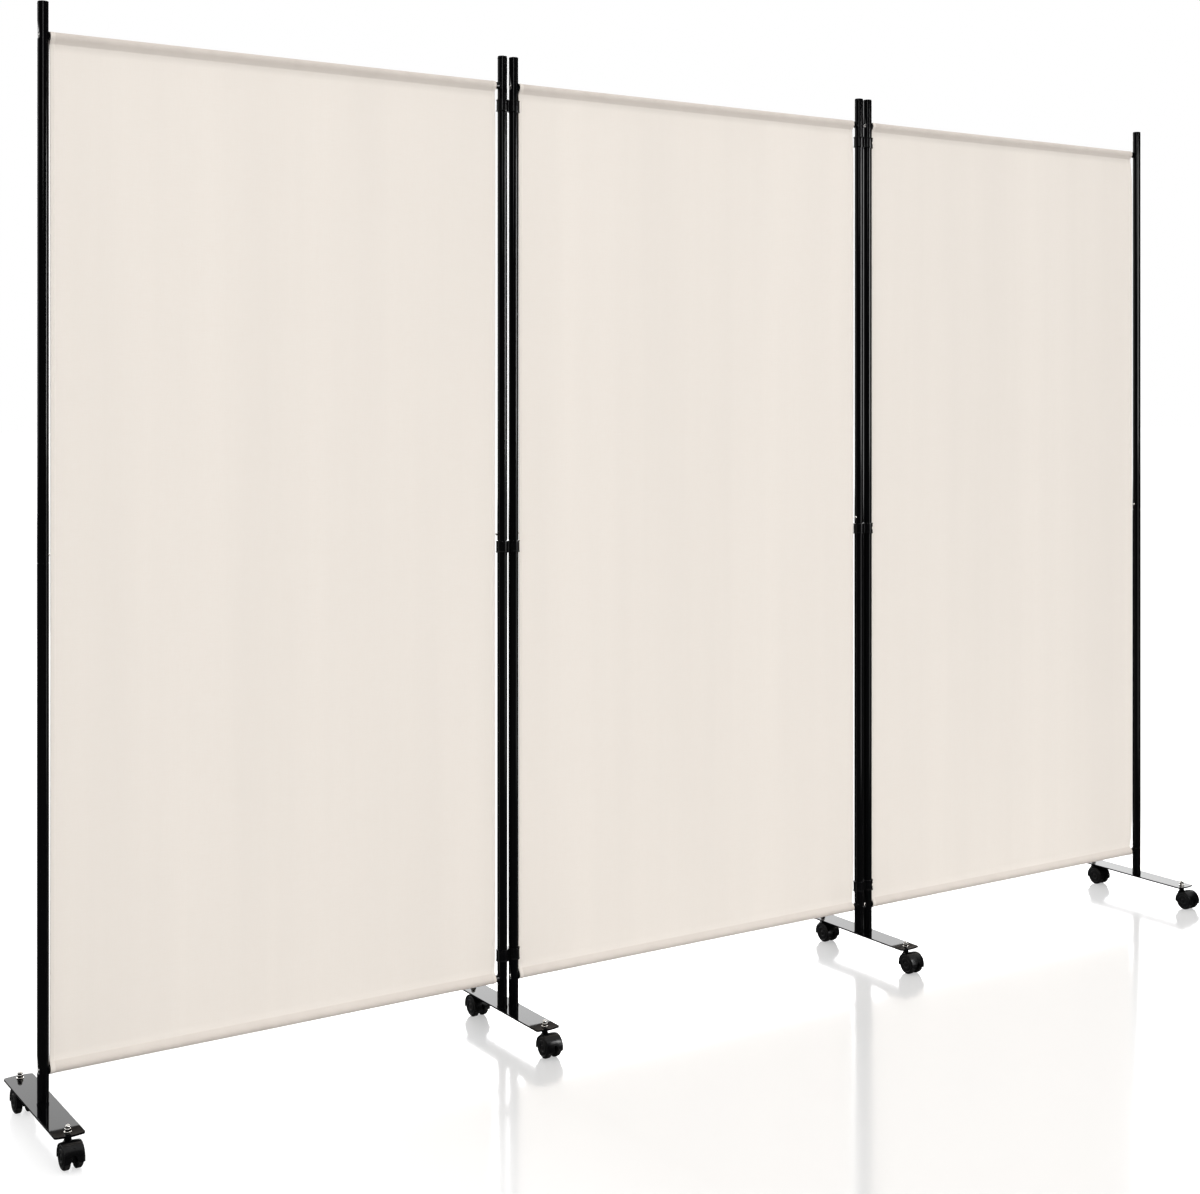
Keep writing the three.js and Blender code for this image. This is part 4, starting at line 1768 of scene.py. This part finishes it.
    def nut(self, low: float) -> Shell:
        """A domed cap nut: a hexagon with chamfered corners under a polished dome.

        Over the flats the radius is a / cos(distance to the middle of the flat), held under the cone of each
        chamfer, which leaves the curved edges on the flats. The dome is a short neck and a quarter circle.

        Args:
            low: height of its underside.

        Returns:
            The closed shell.
        """
        flat = self.nut_width / 2
        z = np.array([0, 0.05, 0.1, 0.16, 0.24, 0.74, 0.82, 0.88, 0.94, 1.0]) * self.nut_hex
        corner = flat / math.cos(math.pi / 6)
        cone = np.minimum(0.95 * flat + np.minimum(z, self.nut_hex - z) * self.nut_steep, corner + MM)
        angle = np.linspace(0, 2 * np.pi, 96, endpoint=False)
        body = np.minimum((flat / np.cos(off_flat(angle)))[None], cone[:, None])
        neck = self.nut_height - self.nut_hex - self.nut_dome
        dome = np.concatenate([
            [[0.96 * self.nut_dome, 0.12 * neck], [0.99 * self.nut_dome, 0.4 * neck]],
            arc((0, neck), self.nut_dome, 0, 90, 12),
        ])
        radius = np.concatenate([0 * angle[None], body, dome[:, :1] + 0 * angle])
        height = np.concatenate([[0], z, self.nut_hex + dome[:, 1]])[:, None] + low
        return wound(radius, height, angle)

    def stem(self, plate_low: float, plate_top: float) -> bpy.types.Object:
        """Builds the stem with its washer and nut, on an axis through the origin.

        Args:
            plate_low: height of the base plate's underside.
            plate_top: height of its top.

        Returns:
            The pattern of all stems.
        """
        under, over = plate_low - self.seat_gap, plate_top + self.seat_gap
        foot, brim = plate_low - self.flange - self.pin_depth, over + self.washer_height
        pin = turned(rounded([
            (0, foot, 0), (self.pin_radius, foot, 0.6 * MM), (self.pin_radius, under - self.flange, 0),
            (self.neck, under - self.flange, 0.2 * MM), (self.neck, under, 0.2 * MM), (self.thread, under, 0),
            (self.thread, over, 0), (0, over, 0),
        ]), sides=48)
        washer = turned(rounded([
            (self.thread, over, 0.1 * MM), (self.washer, over, 0.25 * MM), (self.washer, brim, 0.45 * MM),
            (self.thread, brim, 0.1 * MM),
        ], closed=True, steps=4), sides=64, loop=True)
        return build("stem pattern", [pin, washer, self.nut(brim)], NICKEL, sharp=30)

    def place_all(self) -> None:
        """Builds the patterns and carries them to every caster."""
        plate_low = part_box("base_plate_1")[0].z
        axle = Upright.of("caster_1_front_wheels")
        height = (axle.low + axle.high) / 2
        top = plate_low - self.flange - self.seat_gap - height
        patterns = {
            "hood": (self.hood(top), "fork", "hood_plastic", height),
            "wheels": (self.wheels(), "wheels", "wheel_plastic", height),
            "stem": (self.stem(plate_low, plate_low + BasePlates.thickness), "base", "nickel_plating", 0.0),
        }
        for number in range(1, 5):
            for end in ("front", "rear"):
                stem = Upright.of(f"caster_{number}_{end}_stem")
                for kind, (pattern, ride, slot, rise) in patterns.items():
                    back = 0.0 if kind == "stem" else self.trail
                    name = f"caster_{number}_{end}_{kind}"
                    piece = copied(pattern, f"{name}_fine", (stem.x, stem.y - back, rise))
                    body = f"base_{number}" if ride == "base" else f"{ride}_{number}_{end}"
                    seat(piece, body, slot, name)
        for pattern, *_ in patterns.values():
            bpy.data.objects.remove(pattern)


@dataclass
class Screws:
    """The small fasteners: a button-head bolt in every dimple and a pan-head screw over every post joint.

    Attributes:
        curl: share of a quarter circle that a head's dome follows inwards.
        brim: width of the socket's brim over that of the socket.
        pan_height: height of the screws over the posts' joints.
        sunk: how far the screws are let into their posts.
        loose: how far a screw stands out, by the number of its post.
    """

    bolt_head: float = 3.9 * MM
    bolt_rise: float = 2.1 * MM
    socket: float = 1.5 * MM
    socket_depth: float = 1.2 * MM
    curl: float = 0.72
    brim: float = 1.08
    pan_head: float = 2.8 * MM
    pan_rise: float = 1.7 * MM
    pan_height: float = 12.2 * MM
    shank: float = 1.4 * MM
    sunk: float = 0.3 * MM
    loose: dict[int, float] = field(default_factory=lambda: {2: 3.0 * MM})

    def head(self, radius: float, rise: float) -> Shell:
        """A domed head with a hexagon socket, its underside at the origin and its top towards +Z.

        The rings go out from the axis under the head, up its rounded edge and over the dome. The last ones
        pass from circle to hexagon, down the socket and to the middle of its floor.

        Args:
            radius: radius of the head.
            rise: height of its dome.

        Returns:
            The closed shell.
        """
        angle = np.linspace(0, 2 * np.pi, 48, endpoint=False)
        hexagon = (self.socket / np.cos(off_flat(angle)))[None]
        dome = (np.linspace(0.15, 1, 8) * math.pi / 2)[:, None]
        share = (dome / (math.pi / 2)) ** 2
        arch = (1 - share) * radius * np.cos(dome * self.curl) + share * hexagon * self.brim
        axis = 0 * hexagon
        radii = np.concatenate([axis, radius + axis, arch, hexagon, hexagon * 0.98, axis])
        floor = [rise - 0.06 * MM, rise - self.socket_depth, rise - self.socket_depth * 1.15]
        return wound(radii, np.concatenate([[0, 0], rise * np.sin(dome[:, 0]), floor])[:, None], angle)

    def screw(self, name: str, shells: list[Shell], place: Sequence[float], side: int, body: str) -> None:
        """Turns a screw towards -X or +X, carries it to its place and lets it ride.

        Args:
            name: the screw's name.
            shells: its surfaces, with the head towards +Z.
            place: where its origin goes.
            side: -1 or 1 for the side that its head faces.
            body: what it rides on.
        """
        piece = build(name, shells, NICKEL, sharp=32)
        piece.data.transform(Matrix.Translation(Vector(place)) @ Matrix.Rotation(side * math.pi / 2, 4, "Y"))
        seat(piece, body, "nickel_plating")

    def place_all(self, posts: Posts, panels: dict[str, tuple[int, int]], levels: dict[str, float]) -> None:
        """Fits the bolts and screws of every post.

        Args:
            posts: sizes of the posts.
            panels: the numbers of each panel's posts.
            levels: heights of the crossbars' axes.
        """
        for panel, numbers in panels.items():
            for number in numbers:
                side = posts.side_of(number)
                post, joint = post_at(number), Upright.of(f"post_{number}_upper").low
                for level, height in levels.items():
                    x = post.x + side * (post.radius - posts.dimple.depth - 0.1 * MM)
                    self.screw(f"post_{number}_{level}_bolt", [self.head(self.bolt_head, self.bolt_rise)],
                               (x, post.y, height), side, f"{panel}_panel")
                x = post.x - side * (post.radius - self.sunk)
                stand = self.loose.get(number, 0.0)
                pan = self.head(self.pan_head, self.pan_rise + self.sunk).moved((0, 0, stand))
                end = stand + 0.2 * MM
                shank = turned(np.array([[0, -MM], [self.shank, -MM], [self.shank, end], [0, end]]), sides=24)
                self.screw(f"post_{number}_joint_screw", [pan, shank], (x, post.y, joint + self.pan_height),
                           -side, f"{panel}_panel")


@dataclass
class Studio:
    """Camera, floor, world and lamps of the picture.

    Attributes:
        heading: how far the camera looks to the right of straight ahead, in degrees.
        lens: its focal length in millimetres, for a sensor 36 mm wide.
        rise_share: share of the picture's width by which its view is shifted up.
        mirror: strength of the mirror in the floor before the screen.
        mirror_left: share of it that is left at the far left.
        mirror_grows: X over which it grows.
        mirror_ends: Y over which it ends, behind the screen.
        ambient: brightness of the even light on the object.
        glow: light that the floor sends to the camera alone.
        floor_hidden: share of the floor's light that mirrors don't see.
        flag_heights: lowest and highest edge of the black cards.
        screen_heights: lowest and highest edge of the bright ones.
    """

    eye: Place = (-2.1166, -2.8801, 1.1694)
    heading: float = 33.13
    lens: float = 54.25
    rise_share: float = -0.1643
    mirror: float = 0.38
    mirror_left: float = 0.15
    mirror_grows: Span = (-1.3, -0.5)
    mirror_ends: Span = (0.2, 0.6)
    mirror_rough: float = 0.13
    ambient: float = 0.98
    paper: float = 0.48
    glow: float = 0.64
    floor_hidden: float = 0.85
    reach: float = 60.0
    flag_heights: Span = (-2.0, 9.0)
    screen_heights: Span = (0.6, 5.0)
    screen_y: float = 6.5

    def camera(self) -> None:
        """Sets the camera up at the photograph's place and angle."""
        data = bpy.data.cameras.new("camera")
        data.lens, data.sensor_width, data.shift_y = self.lens, 36, self.rise_share
        camera = stood("camera", data)
        camera.location = self.eye
        camera.rotation_euler = (math.pi / 2, 0, -math.radians(self.heading))
        bpy.context.scene.camera = camera

    def world(self) -> None:
        """Makes the surroundings white to the eye and to mirrors, and a soft even light on the object."""
        world = bpy.data.worlds.new("studio")
        bpy.context.scene.world = world
        sketch = NodeSketch(world)
        rays = sketch.add("ShaderNodeLightPath").outputs
        seen = sketch.calc("MAXIMUM", rays["Is Camera Ray"], rays["Is Glossy Ray"])
        sketch.feed("Color", (1, 1, 1, 1))
        sketch.feed("Strength", sketch.span(seen, 0, 1, self.ambient, 1))

    def quad(self, name: str, corners: list[Place], material: bpy.types.Material) -> bpy.types.Object:
        """Puts up a four-cornered piece of the studio's own.

        Args:
            name: its name.
            corners: its corners, in order.
            material: its material.

        Returns:
            The piece.
        """
        mesh = bpy.data.meshes.new(name)
        mesh.from_pydata(corners, [], [(0, 1, 2, 3)])
        mesh.materials.append(material)
        piece = stood(name, mesh)
        return piece

    def floor(self) -> None:
        """Lays a white floor that keeps the object's shadow.

        A mirror lies in it before the screen; its share falls off to the left and is gone behind the screen.
        The floor glows for the eye alone, and mirrors see it darker than it is, so that the paint stays
        black.
        """
        sketch = NodeSketch(bpy.data.materials.new("white glossy floor"))
        rays = sketch.add("ShaderNodeLightPath").outputs
        lit = sketch.calc("MULTIPLY", rays["Is Camera Ray"], self.glow)
        hidden = sketch.calc("MULTIPLY", rays["Is Glossy Ray"], self.floor_hidden)
        x, y, _ = sketch.parts(sketch.place())
        grown = sketch.span(x, *self.mirror_grows, self.mirror_left * self.mirror, self.mirror)
        share = sketch.calc("MULTIPLY", grown, sketch.span(y, *self.mirror_ends, 1, 0))
        paper = sketch.filled("ShaderNodeBsdfDiffuse", {"Color": (self.paper, self.paper, self.paper, 1)})
        glow = sketch.filled("ShaderNodeEmission", {"Strength": lit})
        gloss = sketch.filled("ShaderNodeBsdfGlossy", {"Roughness": self.mirror_rough})
        matt = sketch.filled("ShaderNodeAddShader", {0: paper, 1: glow})
        both = sketch.filled("ShaderNodeMixShader", {0: share, 1: matt, 2: gloss})
        black = sketch.filled("ShaderNodeEmission", {"Strength": 0.0})
        surface = sketch.end(sketch.filled("ShaderNodeMixShader", {0: hidden, 1: both, 2: black}))
        far = self.reach
        self.quad("floor", [(-far, -far, 0), (far, -far, 0), (far, far, 0), (-far, far, 0)], surface)

    def lamp(self, name: str, place: Place, target: Place, size: tuple[float, float], level: float,
             soft: bool = True, gloss: bool = True) -> None:
        """Adds a softbox.

        Args:
            name: the lamp's name.
            place: where its middle is.
            target: what it points at.
            size: its width and height.
            level: its brightness as the object sees it, where white paper in full light is 1.
            soft: whether it lights matt surfaces.
            gloss: whether it shows in mirrors.
        """
        data = bpy.data.lights.new(name, "AREA")
        data.shape, data.size, data.size_y = "RECTANGLE", *size
        data.energy = level * math.pi * size[0] * size[1]
        lamp = stood(name, data)
        lamp.location = place
        lamp.rotation_euler = (Vector(target) - Vector(place)).to_track_quat("-Z", "Y").to_euler()
        lamp.visible_camera, lamp.visible_diffuse, lamp.visible_glossy = False, soft, gloss

    def card(self, name: str, start: Span, end: Span, heights: Span, level: float) -> None:
        """Puts up an upright card that only mirrors see.

        Args:
            name: the card's name.
            start: (x, y) of its first edge.
            end: (x, y) of its last edge.
            heights: of its lower and its upper edge.
            level: its brightness: 0 for a black flag, more for a bright screen.
        """
        sketch = NodeSketch(bpy.data.materials.new(name))
        glow = sketch.end(sketch.filled("ShaderNodeEmission", {"Strength": level}))
        (x, y), (to_x, to_y), (low, high) = start, end, heights
        card = self.quad(name, [(x, y, low), (to_x, to_y, low), (to_x, to_y, high), (x, y, high)], glow)
        card.visible_camera = card.visible_diffuse = card.visible_transmission = card.visible_shadow = False

    def cards(self) -> None:
        """Puts black flags round the camera's side, which keep the paint black, and bright screens behind."""
        for name, start, end in (("front flag", (-12, -8), (12, -8)), ("left flag", (-12, -8), (-12, 2.5)),
                                 ("right flag", (12, -8), (12, 2.5))):
            self.card(name, start, end, self.flag_heights, 0.0)
        for name, x, to_x, level in (("first screen", -3, 2.0, 3.8), ("plate screen", 2.0, 4.6, 5.8),
                                     ("far screen", 4.6, 14, 4.7)):
            self.card(name, (x, self.screen_y), (to_x, self.screen_y), self.screen_heights, level)

    def lamps(self) -> None:
        """Hangs the lamps: two broad ones light the cloth, and upright strips draw the posts' highlights."""
        self.lamp("front wash", (-1.0, -6.0, 2.2), (0, 0, 0.9), (4.0, 3.0), 2.3, gloss=False)
        self.lamp("back wash", (1.0, 6.0, 2.2), (0, 0, 0.9), (4.0, 3.0), 2.3, gloss=False)
        self.lamp("top wash", (0, -0.3, 4.2), (0, 0, 0), (4.0, 3.0), 0.5, gloss=False)
        self.lamp("right strip", (1.15, -1.75, 1.5), (0.2, 0, 1.4), (0.55, 1.0), 22.0, soft=False)
        self.lamp("low strip", (1.15, -1.75, 0.5), (0.2, 0, 0.6), (0.55, 1.0), 4.0, soft=False)
        self.lamp("eye strip", (-2.2, -3.4, 2.8), (0, 0, 1.7), (0.6, 1.7), 6.5, soft=False)


PANELS = {"left": (1, 2), "middle": (3, 4), "right": (5, 6)}
SLEEVE_CUTS = {"left": 2.0 * MM, "middle": 4.5 * MM, "right": 9.0 * MM}
BASES = {1: (1,), 2: (2, 3), 3: (4, 5), 4: (6,)}
CLIPS = {"left": (2, False), "right": (3, True)}
CLIP_LEVELS = ("top", "middle", "bottom")


def build_panels(posts: Posts, bars: Crossbars) -> dict[str, float]:
    """Builds posts, bars, cloth and stitching of every panel.

    Args:
        posts: sizes of the posts.
        bars: sizes of the crossbars.

    Returns:
        The heights of the crossbars' axes by level.
    """
    levels = {level: bars.axis_height(f"middle_{level}_crossbar") for level in ("top", "bottom")}
    for index, (panel, numbers) in enumerate(PANELS.items()):
        body = f"{panel}_panel"
        for number in numbers:
            posts.lower(number, body, levels["bottom"])
            posts.upper(number, body, levels["top"])
        rails = [bars.bar(panel, level, body, tuple(map(post_at, numbers))) for level in levels]
        sheet = ClothPanel(panel, 1.3 + 2.1 * index, SLEEVE_CUTS[panel])
        cloth = sheet.cloth(body)
        thread = sheet.stitching(body)
    return levels


def main() -> None:
    """Builds the picture: camera, frame's replacements by sub-assembly, and the studio."""
    logging.basicConfig(level=logging.INFO, format="%(name)s: %(message)s")
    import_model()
    studio = Studio()
    studio.camera()
    posts = Posts()
    levels = build_panels(posts, Crossbars())
    plates = BasePlates()
    for base, numbers in BASES.items():
        plates.plate(base, [post_at(number) for number in numbers])
    clips = HingeClips()
    for name, (base, forked) in CLIPS.items():
        for level in CLIP_LEVELS:
            clips.clip(name, level, base, forked, tuple(map(post_at, BASES[base])))
    Casters().place_all()
    Screws().place_all(posts, PANELS, levels)
    studio.world()
    studio.floor()
    studio.cards()
    studio.lamps()
    bpy.context.scene.view_settings.view_transform = "Standard"


if __name__ == "__main__":
    main()
